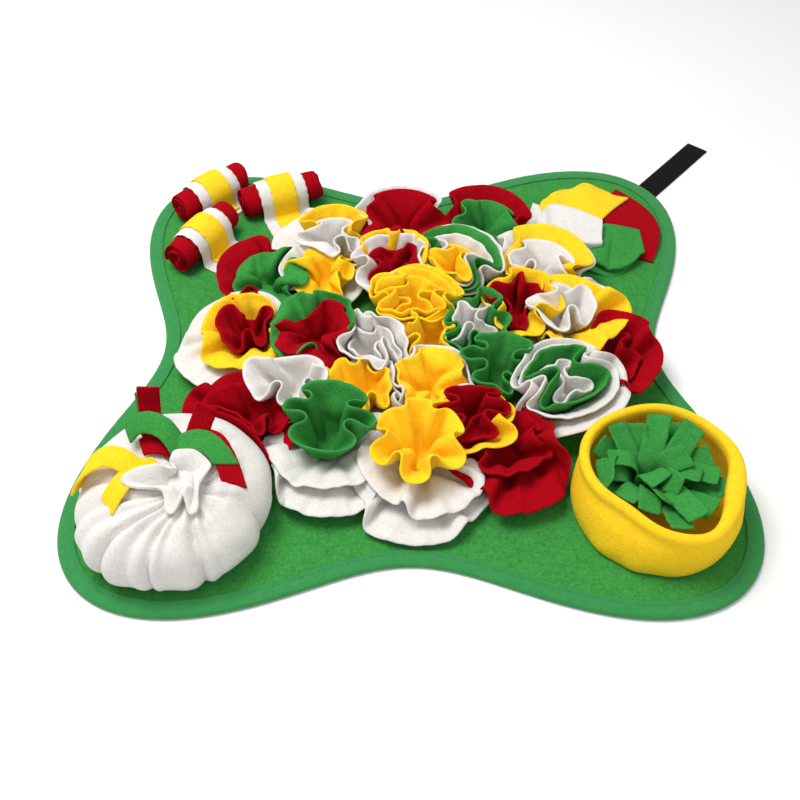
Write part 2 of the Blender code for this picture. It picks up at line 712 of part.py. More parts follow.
def main():
    """Clear the scene and build the mat and everything sewn to it."""
    for thing in list(bpy.data.objects):
        bpy.data.objects.remove(thing, do_unlink=True)
    for name in ("snuffle_mat", "cutters"):
        group = bpy.data.collections.new(name)
        bpy.context.scene.collection.children.link(group)
    build_mat()
    build_rounds()
    for row in ROLLS:
        build_roll(*row)
    for row in FLAPS:
        build_flap(*row)
    build_pouch()
    build_ties()
    build_bowl()
    build_tuft()


main()
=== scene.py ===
"""Snuffle mat: the finished cloth of the mat and of everything sewn to it.

Lengths are in millimetres until a mesh is made, headings in degrees anticlockwise from +X.
"""
import logging
import math
from dataclasses import dataclass
from enum import Enum
from typing import Any, Callable, ClassVar, Iterable, Sequence

import bmesh
import bpy
import numpy as np
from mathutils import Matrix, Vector


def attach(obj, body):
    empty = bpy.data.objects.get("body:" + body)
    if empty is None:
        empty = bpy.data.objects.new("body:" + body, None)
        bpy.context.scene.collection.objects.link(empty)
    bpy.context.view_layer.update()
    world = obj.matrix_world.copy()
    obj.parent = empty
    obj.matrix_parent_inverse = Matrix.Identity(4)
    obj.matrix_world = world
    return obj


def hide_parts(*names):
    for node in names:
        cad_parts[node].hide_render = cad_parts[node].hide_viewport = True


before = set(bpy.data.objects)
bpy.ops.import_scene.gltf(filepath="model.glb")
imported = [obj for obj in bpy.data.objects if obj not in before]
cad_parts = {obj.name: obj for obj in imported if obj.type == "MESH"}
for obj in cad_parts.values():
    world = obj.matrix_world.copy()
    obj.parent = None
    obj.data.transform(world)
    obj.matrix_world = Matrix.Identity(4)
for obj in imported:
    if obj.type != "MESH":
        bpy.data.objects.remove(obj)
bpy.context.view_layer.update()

MM = 0.001
MAT_TOP = 3.0
MAT_FLOOR = 3.3                 # what is sewn to the mat starts here
# where the larger pieces stand, and the heading of each roll
POUCH_SPOT = (-166.0, -154.0)
BOWL_SPOT = (175.0, -149.0)
POCKET_SPOT = (177.0, 166.0)
ROLL_SPOTS = {"right": (-122, 202, 24.0), "front": (-187, 139, 60.0), "rear": (-188, 205, 47.0)}
Colour = tuple[float, float, float]
Rows = np.ndarray               # rows of points: (rows, columns, 3)
log = logging.getLogger("snuffle_mat")


# ---- shader expressions --------------------------------------------------------------------
class Value:
    """A shader socket that takes part in Python expressions."""

    def __init__(self, graph: "Graph", socket: bpy.types.NodeSocket) -> None:
        """Wrap a node's output socket."""
        self.graph = graph
        self.socket = socket

    def _maths(self, operation: str, first: Any, second: Any = None) -> "Value":
        """Add a Math node and return its result."""
        inputs = {0: first} if second is None else {0: first, 1: second}
        return self.graph.node("ShaderNodeMath", {"operation": operation}, inputs)

    def __add__(self, other: Any) -> "Value":
        """Return self + other."""
        return self._maths("ADD", self, other)

    def __radd__(self, other: Any) -> "Value":
        """Return other + self."""
        return self._maths("ADD", other, self)

    def __sub__(self, other: Any) -> "Value":
        """Return self - other."""
        return self._maths("SUBTRACT", self, other)

    def __rsub__(self, other: Any) -> "Value":
        """Return other - self."""
        return self._maths("SUBTRACT", other, self)

    def __mul__(self, other: Any) -> "Value":
        """Return self * other."""
        return self._maths("MULTIPLY", self, other)

    def __rmul__(self, other: Any) -> "Value":
        """Return other * self."""
        return self._maths("MULTIPLY", other, self)

    def sine(self) -> "Value":
        """Return the sine of the value, in radians."""
        return self._maths("SINE", self)


class Graph:
    """The node tree of one material, with its Principled shader."""

    def __init__(self, name: str) -> None:
        """Start a material that holds only a Principled shader and its output.

        Args:
            name: The material's name.
        """
        self.material = bpy.data.materials.new(name)
        self.material.use_nodes = True
        self.tree = self.material.node_tree
        self.shader = self.tree.nodes["Principled BSDF"]

    def node(self, kind: str, settings: dict[str, Any] | None = None,
             inputs: dict[str | int, Any] | None = None, out: str | int = 0) -> Value:
        """Add a node.

        Args:
            kind: The node's type.
            settings: Its own settings, set before its sockets.
            inputs: A number, a colour or a Value for each named or numbered input.
            out: The output that is returned.

        Returns:
            The chosen output of the new node.
        """
        made = self.tree.nodes.new(kind)
        for key, value in (settings or {}).items():
            setattr(made, key, value)
        for key, value in (inputs or {}).items():
            self.join(value, made.inputs[key])
        return Value(self, made.outputs[out])

    def join(self, value: Any, socket: bpy.types.NodeSocket) -> None:
        """Link a Value to a socket, or set a plain number or colour on it."""
        if isinstance(value, Value):
            self.tree.links.new(value.socket, socket)
        elif isinstance(value, tuple) and len(value) == 3 and socket.type == "RGBA":
            socket.default_value = (*value, 1.0)
        else:
            socket.default_value = value

    def set(self, **sockets: Any) -> None:
        """Set or link the shader's sockets, named with _ for a space."""
        for key, value in sockets.items():
            self.join(value, self.shader.inputs[key.replace("_", " ")])

    def mix(self, share: Any, first: Any, second: Any) -> Value:
        """Return a colour between two, at a share from 0 to 1."""
        return self.node("ShaderNodeMix", {"data_type": "RGBA"},
                         {"Factor": share, 6: first, 7: second}, out=2)

    def noise(self, size: float, detail: float = 2.0) -> Value:
        """Return a cloudy value from 0 to 1.

        Args:
            size: How large the clouds are, in millimetres.
            detail: How many finer layers they have.

        Returns:
            The noise's value, over the object's own coordinates.
        """
        inputs = {"Vector": self.node("ShaderNodeTexCoord", out="Object"), "Scale": 1 / (size * MM),
                  "Detail": detail}
        return self.node("ShaderNodeTexNoise", {}, inputs, out="Fac")

    def across(self) -> tuple[Value, Value]:
        """Read a strip's UV map.

        Returns:
            The distances along and across the strip, in metres.
        """
        split = self.node("ShaderNodeSeparateXYZ", {}, {0: self.node("ShaderNodeUVMap")})
        return split, Value(self, split.socket.node.outputs[1])

    def bump(self, height: Value, depth: float, strength: float) -> None:
        """Raise the surface by a height from 0 to 1, over a depth in millimetres."""
        inputs = {"Height": height, "Distance": depth * MM, "Strength": strength}
        self.join(self.node("ShaderNodeBump", {}, inputs), self.shader.inputs["Normal"])


# ---- finishes ------------------------------------------------------------------------------
@dataclass(frozen=True)
class Fleece:
    """Brushed fleece: a matte nap of short fibres, slightly mottled, with painted shade down between
    its tufts.
    """

    name: str
    slot: str
    base: Colour
    trough_shade: Colour                # painted shade down in the nap's troughs, and the darker side of its random mottling
    sheen: float = 0.07
    glow: float = 0.0           # share of the light that passes on inside the cloth
    nap: float = 1.7            # size of a tuft of fibres
    cloud: float = 7.0          # size of the mottling, and below of its wider patches
    patch: float = 38.0

    def make(self) -> bpy.types.Material:
        """Make the fleece's material.

        Returns:
            The new material.
        """
        graph = Graph(self.name)
        tufts = graph.noise(self.nap, 3.0)
        clouds = graph.noise(self.cloud)
        patches = graph.noise(self.patch, 1.0)
        # painted light and shade: lighter on the tops of the tufts, painted shade down between them,
        # and random mottling in clouds and patches
        lit = (tufts - 0.5) * 2.0 + (clouds - 0.5) * 0.6 + (patches - 0.5) * 0.4 + 0.62
        held = graph.node("ShaderNodeClamp", {}, {"Value": lit})
        graph.set(Base_Color=graph.mix(held, self.trough_shade, self.base), Roughness=1.0,
                  Specular_IOR_Level=0.06, Sheen_Weight=self.sheen, Sheen_Roughness=0.45,
                  Sheen_Tint=(*[min(1.0, part * 1.2 + 0.12) for part in self.base], 1.0))
        if self.glow:
            graph.set(Subsurface_Weight=self.glow, Subsurface_Scale=1.0,
                      Subsurface_Radius=tuple(0.0035 * (0.35 + part) for part in self.base))
        graph.bump(tufts * 0.6 + clouds * 0.4, 0.9, 0.8)
        return graph.material


@dataclass(frozen=True)
class Twill:
    """Woven tape with diagonal ribs."""

    name: str
    slot: str
    base: Colour
    # painted shade in the grooves between the ribs, and darker in random clouds
    trough_shade: Colour
    rib: float = 1.5            # from one rib to the next, along the tape

    def make(self) -> bpy.types.Material:
        """Make the tape's material.

        Returns:
            The new material.
        """
        graph = Graph(self.name)
        along, side = graph.across()
        ribs = ((along + side * 1.3) * (2 * math.pi / (self.rib * MM))).sine() * 0.5 + 0.5
        clouds = graph.noise(5.0)
        held = graph.node("ShaderNodeClamp", {}, {"Value": ribs * 0.55 + clouds * 0.7 - 0.05})
        graph.set(Base_Color=graph.mix(held, self.trough_shade, self.base), Roughness=0.82,
                  Sheen_Weight=0.15, Specular_IOR_Level=0.25)
        graph.bump(ribs * 0.8 + clouds * 0.2, 0.3, 0.6)
        return graph.material


@dataclass(frozen=True)
class Webbing:
    """Close woven black webbing with ribs across it."""

    name: str
    slot: str
    base: Colour
    # painted shade in the low spots between the ribs of the weave
    trough_shade: Colour
    rib: float = 1.3

    def make(self) -> bpy.types.Material:
        """Make the webbing's material.

        Returns:
            The new material.
        """
        graph = Graph(self.name)
        along, side = graph.across()
        turn = 2 * math.pi / (self.rib * MM)
        weave = (along * turn).sine() * (side * turn * 0.9).sine() * 0.5 + 0.5
        graph.set(Base_Color=graph.mix(weave, self.trough_shade, self.base), Roughness=0.8,
                  Specular_IOR_Level=0.15)
        graph.bump(weave, 0.3, 0.5)
        return graph.material


@dataclass(frozen=True)
class Thread:
    """Plain sewing thread."""

    name: str
    slot: str
    base: Colour

    def make(self) -> bpy.types.Material:
        """Make the thread's material.

        Returns:
            The new material.
        """
        graph = Graph(self.name)
        twist = graph.noise(0.6)
        # darker where the twist's bump is low: painted shade between the plies
        graph.set(Base_Color=graph.mix(twist, tuple(part * 0.6 for part in self.base), self.base),
                  Roughness=0.6)
        graph.bump(twist, 0.1, 0.4)
        return graph.material


@dataclass(frozen=True)
class Paper:
    """The seamless paper under and behind the mat."""

    name: str
    base: Colour

    def make(self) -> bpy.types.Material:
        """Make the paper's material.

        Returns:
            The new material.
        """
        graph = Graph(self.name)
        grain = graph.noise(60.0)
        shade = tuple(part * 0.985 for part in self.base)
        graph.set(Base_Color=graph.mix(grain, shade, self.base), Roughness=0.9,
                  Specular_IOR_Level=0.1)
        return graph.material


class Cloth(Enum):
    """The finishes of the object, each made once."""

    GREEN = Fleece("nap_green", "fleece_green", (0.052, 0.310, 0.062), (0.030, 0.215, 0.038))
    WHITE = Fleece("nap_white", "fleece_white", (0.79, 0.77, 0.745), (0.67, 0.635, 0.59), glow=0.2)
    YELLOW = Fleece("nap_yellow", "fleece_yellow", (1.0, 0.68, 0.028), (0.97, 0.53, 0.010),
                    glow=0.10)
    RED = Fleece("nap_red", "fleece_red", (0.41, 0.002, 0.009), (0.27, 0.001, 0.005), sheen=0.02)
    MAT = Fleece("nap_mat", "mat_fleece", (0.054, 0.305, 0.062), (0.026, 0.190, 0.033), nap=2.0)
    TAPE = Twill("twill_tape", "binding_tape", (0.040, 0.31, 0.078), (0.018, 0.19, 0.042))
    WEBBING = Webbing("woven_strap", "webbing", (0.006, 0.006, 0.007), (0.002, 0.002, 0.002))
    THREAD = Thread("sewing_thread", "binding_tape", (0.05, 0.40, 0.16))

    def material(self) -> bpy.types.Material:
        """Return the finish's material, made on first use."""
        return bpy.data.materials.get(self.value.name) or self.value.make()


# ---- meshes --------------------------------------------------------------------------------
def skin(name: str, rows: Rows, hoop: bool = False, crown: bool = False, root: bool = False,
         lengths: tuple[Sequence[float], Sequence[float]] | None = None) -> bpy.types.Object:
    """Make an object of quads between rows of points.

    Args:
        name: The object's name.
        rows: Points in millimetres.
        hoop: Whether the last column meets the first.
        crown: Whether the last row closes on its own middle.
        root: Whether the first row closes on its own middle.
        lengths: The distance of each row and each column, for the UV map.

    Returns:
        The new object, riding on the mat.
    """
    count, wide = rows.shape[:2]
    points = rows.reshape(-1, 3)
    index = np.arange(count * wide).reshape(count, wide)
    after = np.roll(index, -1, 1)
    span = wide if hoop else wide - 1
    quads = np.stack([index[:-1, :span], index[1:, :span], after[1:, :span], after[:-1, :span]], -1)
    faces = quads.reshape(-1, 4).tolist()
    for row, wanted in ((0, root), (count - 1, crown)):
        if wanted:
            points = np.vstack([points, rows[row].mean(0)])
            pole = len(points) - 1
            ring = index[row].tolist()
            pairs = list(zip(ring, ring[1:] + ring[:1]))
            faces += [(pole, a, b) if row == 0 else (pole, b, a) for a, b in pairs]
    mesh = bpy.data.meshes.new(name)
    mesh.from_pydata((points * MM).tolist(), [], faces)
    mesh.update()
    mesh.shade_smooth()
    if lengths:
        paint_lengths(mesh, count, wide, *lengths)
    thing = bpy.data.objects.new(name, mesh)
    bpy.context.scene.collection.objects.link(thing)
    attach(thing, "root")
    return thing


def paint_lengths(mesh: bpy.types.Mesh, count: int, wide: int, along: Sequence[float],
                  side: Sequence[float]) -> None:
    """Write a UV map of distances in metres, along the columns and across the rows.

    Args:
        mesh: The mesh, whose first points are the rows.
        count: How many rows there are.
        wide: How many points a row has.
        along: Distance of each column, with one more at the end for a hoop.
        side: Distance of each row.
    """
    layer = mesh.uv_layers.new(name="UVMap").data
    for face in mesh.polygons:
        spots = [divmod(corner, wide) for corner in face.vertices]
        last = any(column == wide - 1 for _, column in spots)
        for loop, (row, column) in zip(face.loop_indices, spots):
            wraps = last and column == 0 and len(along) > wide
            u = along[wide] if wraps else along[min(column, len(along) - 1)]
            layer[loop].uv = (u * MM, side[min(row, count - 1)] * MM)


def thicken(thing: bpy.types.Object, thick: float, rounds: int = 1) -> None:
    """Give a sheet its thickness, with soft cut edges.

    Args:
        thing: The sheet's object.
        thick: Thickness in millimetres.
        rounds: Levels of subdivision.
    """
    wall = thing.modifiers.new("cloth", "SOLIDIFY")
    wall.thickness = thick * MM
    wall.offset = 0.0
    if rounds:
        soft = thing.modifiers.new("nap", "SUBSURF")
        soft.levels = soft.render_levels = rounds


def dress(thing: bpy.types.Object, finish: Cloth, nodes: Iterable[str] = ()) -> bpy.types.Object:
    """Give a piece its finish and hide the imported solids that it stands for.

    Args:
        thing: The piece.
        finish: Its cloth.
        nodes: Names of the solids that it replaces.

    Returns:
        The same piece.
    """
    thing.data.materials.append(finish.material())
    for node in nodes:
        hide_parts(node)
    return thing


def smooth_path(points: Sequence[Sequence[float]], steps: int) -> np.ndarray:
    """Return a curve through points, as an even row of samples.

    Args:
        points: The points that it passes through.
        steps: How many samples each stretch gets.

    Returns:
        The samples, evenly spaced.
    """
    knots = np.array(points, float)
    ends = np.vstack([2 * knots[0] - knots[1], knots, 2 * knots[-1] - knots[-2]])
    out = []
    for a, b, c, d in zip(ends, ends[1:], ends[2:], ends[3:]):
        for t in np.linspace(0, 1, steps, endpoint=False):
            out.append(0.5 * (2 * b + (c - a) * t + (2 * a - 5 * b + 4 * c - d) * t * t
                              + (3 * b - a - 3 * c + d) * t ** 3))
    curve = np.array(out + [knots[-1]])
    run = distances(curve)
    even = np.linspace(0, run[-1], len(curve))
    return np.stack([np.interp(even, run, curve[:, axis]) for axis in range(curve.shape[1])], -1)


def distances(curve: np.ndarray) -> np.ndarray:
    """Return how far along a curve each of its points lies."""
    return np.concatenate([[0.0], np.cumsum(np.linalg.norm(np.diff(curve, axis=0), axis=1))])


def measure(rows: Rows, hoop: bool = False) -> tuple[np.ndarray, np.ndarray, float]:
    """Measure a surface.

    Args:
        rows: Its points.
        hoop: Whether the last column meets the first.

    Returns:
        The length of each row, the length of each column and the area.
    """
    across = (np.roll(rows, -1, axis=1) - rows)[:, :None if hoop else -1]
    down = np.diff(rows, axis=0)
    cells = np.cross(across[:-1], down[:, :across.shape[1]])
    lengths = [np.linalg.norm(steps, axis=-1).sum(axis) for steps, axis in ((across, 1), (down, 0))]
    return lengths[0], lengths[1], float(np.linalg.norm(cells, axis=-1).sum())


def ripple(where: np.ndarray, size: float, seed: float) -> np.ndarray:
    """Return a smooth wave from -1 to 1 over a plane.

    Args:
        where: Points, of which x and y count.
        size: Length of the waves in millimetres.
        seed: Shifts the pattern.

    Returns:
        One value for each point.
    """
    x, y = where[..., 0] / size, where[..., 1] / size
    return (np.sin(2.1 * x + 1.3 * y + seed) + np.sin(1.7 * y - 2.3 * x + 2.1 * seed)
            + np.sin(3.1 * y + 0.7 * x + 3.7 * seed)) / 3


@dataclass
class Strip:
    """A flat strip of fleece along a path, with slightly uneven cut edges."""

    path: np.ndarray
    sides: np.ndarray
    width: float
    thick: float = 2.0
    cells: int = 6
    cup: float = 0.0            # how far the edges stand above the middle
    ragged: float = 0.35
    seed: float = 0.0
    slant: float = 0.0          # how far one edge runs on past the other at the free end

    def rows(self) -> Rows:
        """Lay the strip's surface along its path.

        Returns:
            Rows of points, from one end to the other.
        """
        along = np.gradient(self.path, axis=0)
        along /= np.linalg.norm(along, axis=1)[:, None]
        side = self.sides - along * (self.sides * along).sum(1)[:, None]
        side /= np.linalg.norm(side, axis=1)[:, None]
        up = np.cross(along, side)
        share = np.linspace(-0.5, 0.5, self.cells + 1)
        run = distances(self.path)
        rough = self.ragged * np.stack([np.sin(run * 0.9 + self.seed * 5),
                                        np.sin(run * 0.7 + self.seed * 3 + 2)])
        wide = self.width * share[None] + 2 * (np.maximum(share, 0)[None] * rough[0][:, None]
                                               + np.minimum(share, 0)[None] * rough[1][:, None])
        lift = self.cup * (4 * share ** 2 - 1 / 3)
        ahead = self.slant * share[None] * (run / run[-1])[:, None] ** 4
        return (self.path[:, None] + side[:, None] * wide[..., None]
                + up[:, None] * lift[None, :, None] + along[:, None] * ahead[..., None])

    def build(self, name: str, finish: Cloth, nodes: Iterable[str], held: str,
              rests_on: Sequence[str]) -> bpy.types.Object:
        """Make the strip as a piece.

        Args:
            name: The piece's name.
            finish: Its cloth.
            nodes: The solids that it replaces.
            held: Not used.
            rests_on: Not used.

        Returns:
            The new piece.
        """
        thing = skin(name, self.rows())
        thicken(thing, self.thick)
        dress(thing, finish, nodes)
        self.width * MM
        return thing


# ---- mat, binding and strap ----------------------------------------------------------------
@dataclass
class Mat:
    """The four-lobed mat, its bound edge with a row of stitches, and the strap."""

    waist: float = 180.0
    tightness: float = 8.4
    # heading of each lobe, and how far it stands beyond the waist
    lobes: tuple[tuple[float, float], ...] = (
        (46.6, 149.0), (133.4, 135.0), (222.7, 134.0), (317.1, 134.0))
    hem: float = 1.5            # how far inside the binding's edge the cloth ends
    tape: float = 12.0          # width of the binding on the face
    tape_folds: float = 4.4     # width of the flat tape, in widths that show
    points: int = 300
    strap_width: float = 22.0
    strap_thick: float = 1.5
    strap_heading: float = 49.0
    strap_run: tuple[float, float] = (302.0, 428.0)
    strap_aside: float = 27.0
    # inset from the edge and height of the binding's section, in a C round the mat's edge
    section: tuple[tuple[float, float], ...] = (
        (12.0, 1.0), (12.1, 0.1), (6.0, 0.0), (1.6, 0.05), (0.5, 0.6), (0.0, 1.8), (0.1, 3.0),
        (0.8, 3.9), (2.2, 4.35), (5.0, 4.3), (8.0, 4.15), (9.6, 4.0), (10.4, 4.3), (11.4, 4.5),
        (12.2, 4.3), (12.4, 3.6), (12.3, 3.2), (5.0, 3.15), (1.2, 3.1), (1.2, 1.1))
    stitch: float = 2.6
    stitch_pitch: float = 3.9
    stitch_inset: float = 9.4
    stitch_height: float = 4.12
    thread_radius: float = 0.36

    def outline(self, inset: float, count: int) -> np.ndarray:
        """Trace the mat's outline.

        Args:
            inset: How far inside the edge.
            count: How many points, evenly stepped.

        Returns:
            The points.
        """
        fine = np.radians(np.linspace(0, 360, 1441))
        reach = np.full_like(fine, self.waist)
        for heading, stand in self.lobes:
            reach += stand * np.exp(self.tightness * (np.cos(fine - math.radians(heading)) - 1))
        edge = np.column_stack([reach * np.cos(fine), reach * np.sin(fine)])
        run = distances(edge)
        marks = np.linspace(0, run[-1], count, endpoint=False)
        even = np.column_stack([np.interp(marks, run, edge[:, axis]) for axis in (0, 1)])
        along = np.roll(even, -1, axis=0) - np.roll(even, 1, axis=0)
        along /= np.linalg.norm(along, axis=1)[:, None]
        return even - inset * np.column_stack([along[:, 1], -along[:, 0]])

    def lift(self, where: np.ndarray) -> np.ndarray:
        """Return how far the cloth stands above flat: a slow wave, least in the middle."""
        away = np.linalg.norm(where[..., :2], axis=-1) / 300
        return 0.55 * np.clip(away, 0, 1) ** 2 * (1 + ripple(where, 46.0, 1.0))

    def build_cloth(self) -> bpy.types.Object:
        """Make the mat's two layers as one soft sheet.

        Returns:
            The new piece.
        """
        edge = self.outline(self.hem, self.points)
        shares = np.concatenate([np.linspace(0.04, 0.97, 34), [1.0]])
        top = np.stack([np.column_stack([edge * share, np.zeros(len(edge))]) for share in shares])
        top[..., 2] = MAT_TOP + self.lift(top) + 0.16 * ripple(top, 9.0, 2.0)
        top[-1, :, 2] = MAT_TOP - 0.2
        low = top[[-1, -2, -12, 0]].copy()
        for row, height in enumerate((1.3, 1.2, 0.0, 0.0)):
            low[row, :, 2] = height
        thing = skin("mat_cloth", np.concatenate([top, low]), hoop=True, crown=True, root=True)
        dress(thing, Cloth.MAT, ["mat_base"])
        return thing

    def build_binding(self) -> bpy.types.Object:
        """Make the tape that is folded over the edge.

        Returns:
            The new piece.
        """
        rows = []
        for inset, height in self.section:
            ring = self.outline(inset, self.points)
            pucker = 0.12 * np.sin(np.arange(self.points) * 2.4) if height > 3.4 else 0.0
            over = self.lift(ring) if height > MAT_TOP else 0.0
            rows.append(np.column_stack([ring, np.full(len(ring), height) + over + pucker]))
        rows.append(rows[0])
        edge = self.outline(0.0, self.points)
        along = distances(np.vstack([edge, edge[:1]]))
        side = distances(np.array(self.section + self.section[:1]))
        thing = skin("binding", np.array(rows), hoop=True, lengths=(along, side))
        dress(thing, Cloth.TAPE, ["edge_binding"])
        return thing

    def build_stitches(self) -> bpy.types.Object:
        """Make the row of lock stitches along the binding's inner edge.

        Returns:
            The new piece.
        """
        mesh = bmesh.new()
        fine = self.outline(self.stitch_inset, 900)
        count = int(distances(np.vstack([fine, fine[:1]]))[-1] / self.stitch_pitch)
        line = self.outline(self.stitch_inset, count)
        ahead = np.roll(line, -1, axis=0) - line
        for (x, y), (dx, dy), z in zip(line, ahead, self.stitch_height + self.lift(line)):
            turn = math.atan2(dy, dx)
            way = np.array([math.cos(turn), math.sin(turn)]) * self.stitch / 2
            add_stitch(mesh, (x - way[0], y - way[1], z), (x + way[0], y + way[1], z),
                       self.thread_radius)
        data = bpy.data.meshes.new("binding_stitches")
        mesh.to_mesh(data)
        mesh.free()
        data.shade_smooth()
        thing = bpy.data.objects.new("binding_stitches", data)
        bpy.context.scene.collection.objects.link(thing)
        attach(thing, "root")
        return dress(thing, Cloth.THREAD)

    def build_strap(self) -> bpy.types.Object:
        """Make the webbing strap, sewn under one lobe.

        Returns:
            The new piece.
        """
        turn = math.radians(self.strap_heading)
        ahead = np.array([math.cos(turn), math.sin(turn), 0.0])
        side = np.array([math.sin(turn), -math.cos(turn), 0.0])
        runs = np.linspace(*self.strap_run, 40)
        half, thick = self.strap_width / 2, self.strap_thick
        section = ((-half, 0.35), (-half + 0.5, 0.0), (0.0, 0.0), (half - 0.5, 0.0), (half, 0.35),
                   (half, thick - 0.35), (half - 0.5, thick), (half / 2, thick), (0.0, thick),
                   (-half / 2, thick), (-half + 0.5, thick), (-half, thick - 0.35))
        rows = np.array([[ahead * run + side * (self.strap_aside + out) + np.array([0, 0, high])
                          for out, high in section] for run in runs])
        around = distances(np.array(section + section[:1]))
        thing = skin("webbing_strap", rows, hoop=True, crown=True, root=True)
        paint_lengths(thing.data, len(runs), len(section), around, runs - runs[0])
        dress(thing, Cloth.WEBBING, ["strap"])
        return thing


def add_stitch(mesh: bmesh.types.BMesh, start: Sequence[float], end: Sequence[float],
               radius: float) -> None:
    """Add one stitch, a short rod that dips into the cloth at its ends.

    Args:
        mesh: The mesh that takes it.
        start: Where it comes up.
        end: Where it goes down.
        radius: Half its thickness.
    """
    a, b = np.array(start), np.array(end)
    along = (b - a) / np.linalg.norm(b - a)
    side = np.array([-along[1], along[0], 0.0])
    rings = []
    for share, wide, rise in ((0.0, 0.4, -0.25), (0.25, 1.0, 0.1), (0.75, 1.0, 0.1), (1.0, 0.4, -0.25)):
        middle = a + (b - a) * share + np.array([0, 0, rise])
        spokes = [side * math.cos(turn) + np.array([0, 0, math.sin(turn)]) for turn in (0.5, 2.6, 4.7)]
        rings.append([mesh.verts.new((middle + radius * wide * spoke) * MM) for spoke in spokes])
    for low, high in zip(rings, rings[1:]):
        for k in range(3):
            mesh.faces.new((low[k], low[(k + 1) % 3], high[(k + 1) % 3], high[k]))
    mesh.faces.new(rings[0][::-1])
    mesh.faces.new(rings[-1])


# ---- ruffles -------------------------------------------------------------------------------
@dataclass(frozen=True)
class Round:
    """One round of cloth, sewn at its middle.

    Each petal is a heading, how far it spreads to either side, a lean from flat, how much
    steeper than that it starts and flatter it ends, and its length from the middle.
    """

    finish: Cloth
    petals: tuple[tuple[float, float, float, float, float], ...]
    part: str | None = None     # which of its flower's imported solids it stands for, if any


@dataclass(frozen=True)
class Flower:
    """Rounds sewn on one spot, from the outermost to the innermost."""

    STEEPER: ClassVar[int] = 5          # how much steeper each round starts than the one under it
    STEEPEST: ClassVar[int] = 70
    LAYER: ClassVar[float] = 2.9        # how much higher it is sewn
    TAPER: ClassVar[float] = 1.2        # how much less of it is sewn

    name: str
    middle: tuple[float, float]
    rounds: tuple[Round, ...]
    sewn: float = 9.0                   # radius of the sewn spot

    def folded(self, level: int) -> Round:
        """Give a round the folds of the outermost one, so that both nest.

        Args:
            level: How many rounds lie under it.

        Returns:
            The round in its starting shape.
        """
        first, cloth = self.rounds[0], self.rounds[level]
        size = (np.mean([petal[4] for petal in cloth.petals])
                / np.mean([petal[4] for petal in first.petals]))
        return Round(cloth.finish, tuple(
            (heading, spread, min(lean + self.STEEPER * level, self.STEEPEST), flare, length * size)
            for heading, spread, lean, flare, length in first.petals))


@dataclass(frozen=True)
class Drum:
    """An upright round thing that cloth keeps out of."""

    x: float
    y: float
    radius: float
    top: float

    def push(self, points: np.ndarray) -> None:
        """Move the points that are inside straight out.

        Args:
            points: The points, changed in place.
        """
        dx, dy = points[..., 0] - self.x, points[..., 1] - self.y
        away = np.hypot(dx, dy)
        inside = (away < self.radius) & (points[..., 2] < self.top)
        grow = np.where(inside, self.radius / np.maximum(away, 1e-6), 1.0)
        points[..., 0] = self.x + dx * grow
        points[..., 1] = self.y + dy * grow


@dataclass(frozen=True)
class Mound:
    """A round rise that cloth lies on."""

    x: float
    y: float
    radius: float
    rise: float
    foot: float

    def push(self, points: np.ndarray) -> None:
        """Lift the points that are below the mound.

        Args:
            points: The points, changed in place.
        """
        away = np.hypot(points[..., 0] - self.x, points[..., 1] - self.y) / self.radius
        top = self.foot + self.rise * np.maximum(1 - away ** 2, 0) ** 2.0
        points[..., 2] = np.where(away < 1, np.maximum(points[..., 2], top), points[..., 2])


@dataclass(frozen=True)
class Barrel:
    """A roll that lies on the mat."""

    x: float
    y: float
    heading: float
    half: float
    radius: float
    axis: float = 15.0          # height of its middle above the mat

    def push(self, points: np.ndarray) -> None:
        """Move the points that are inside away from the roll's axis.

        Args:
            points: The points, changed in place.
        """
        turn = math.radians(self.heading)
        along = np.array([math.cos(turn), math.sin(turn)])
        side = np.array([-math.sin(turn), math.cos(turn)])
        rel = points[..., :2] - np.array([self.x, self.y])
        run, out, high = rel @ along, rel @ side, points[..., 2] - MAT_FLOOR - self.axis
        away = np.hypot(out, high)
        inside = (np.abs(run) < self.half) & (away < self.radius)
        grow = np.where(inside, self.radius / np.maximum(away, 1e-6), 1.0) - 1
        points[..., :2] += (out * grow)[..., None] * side
        points[..., 2] += high * grow


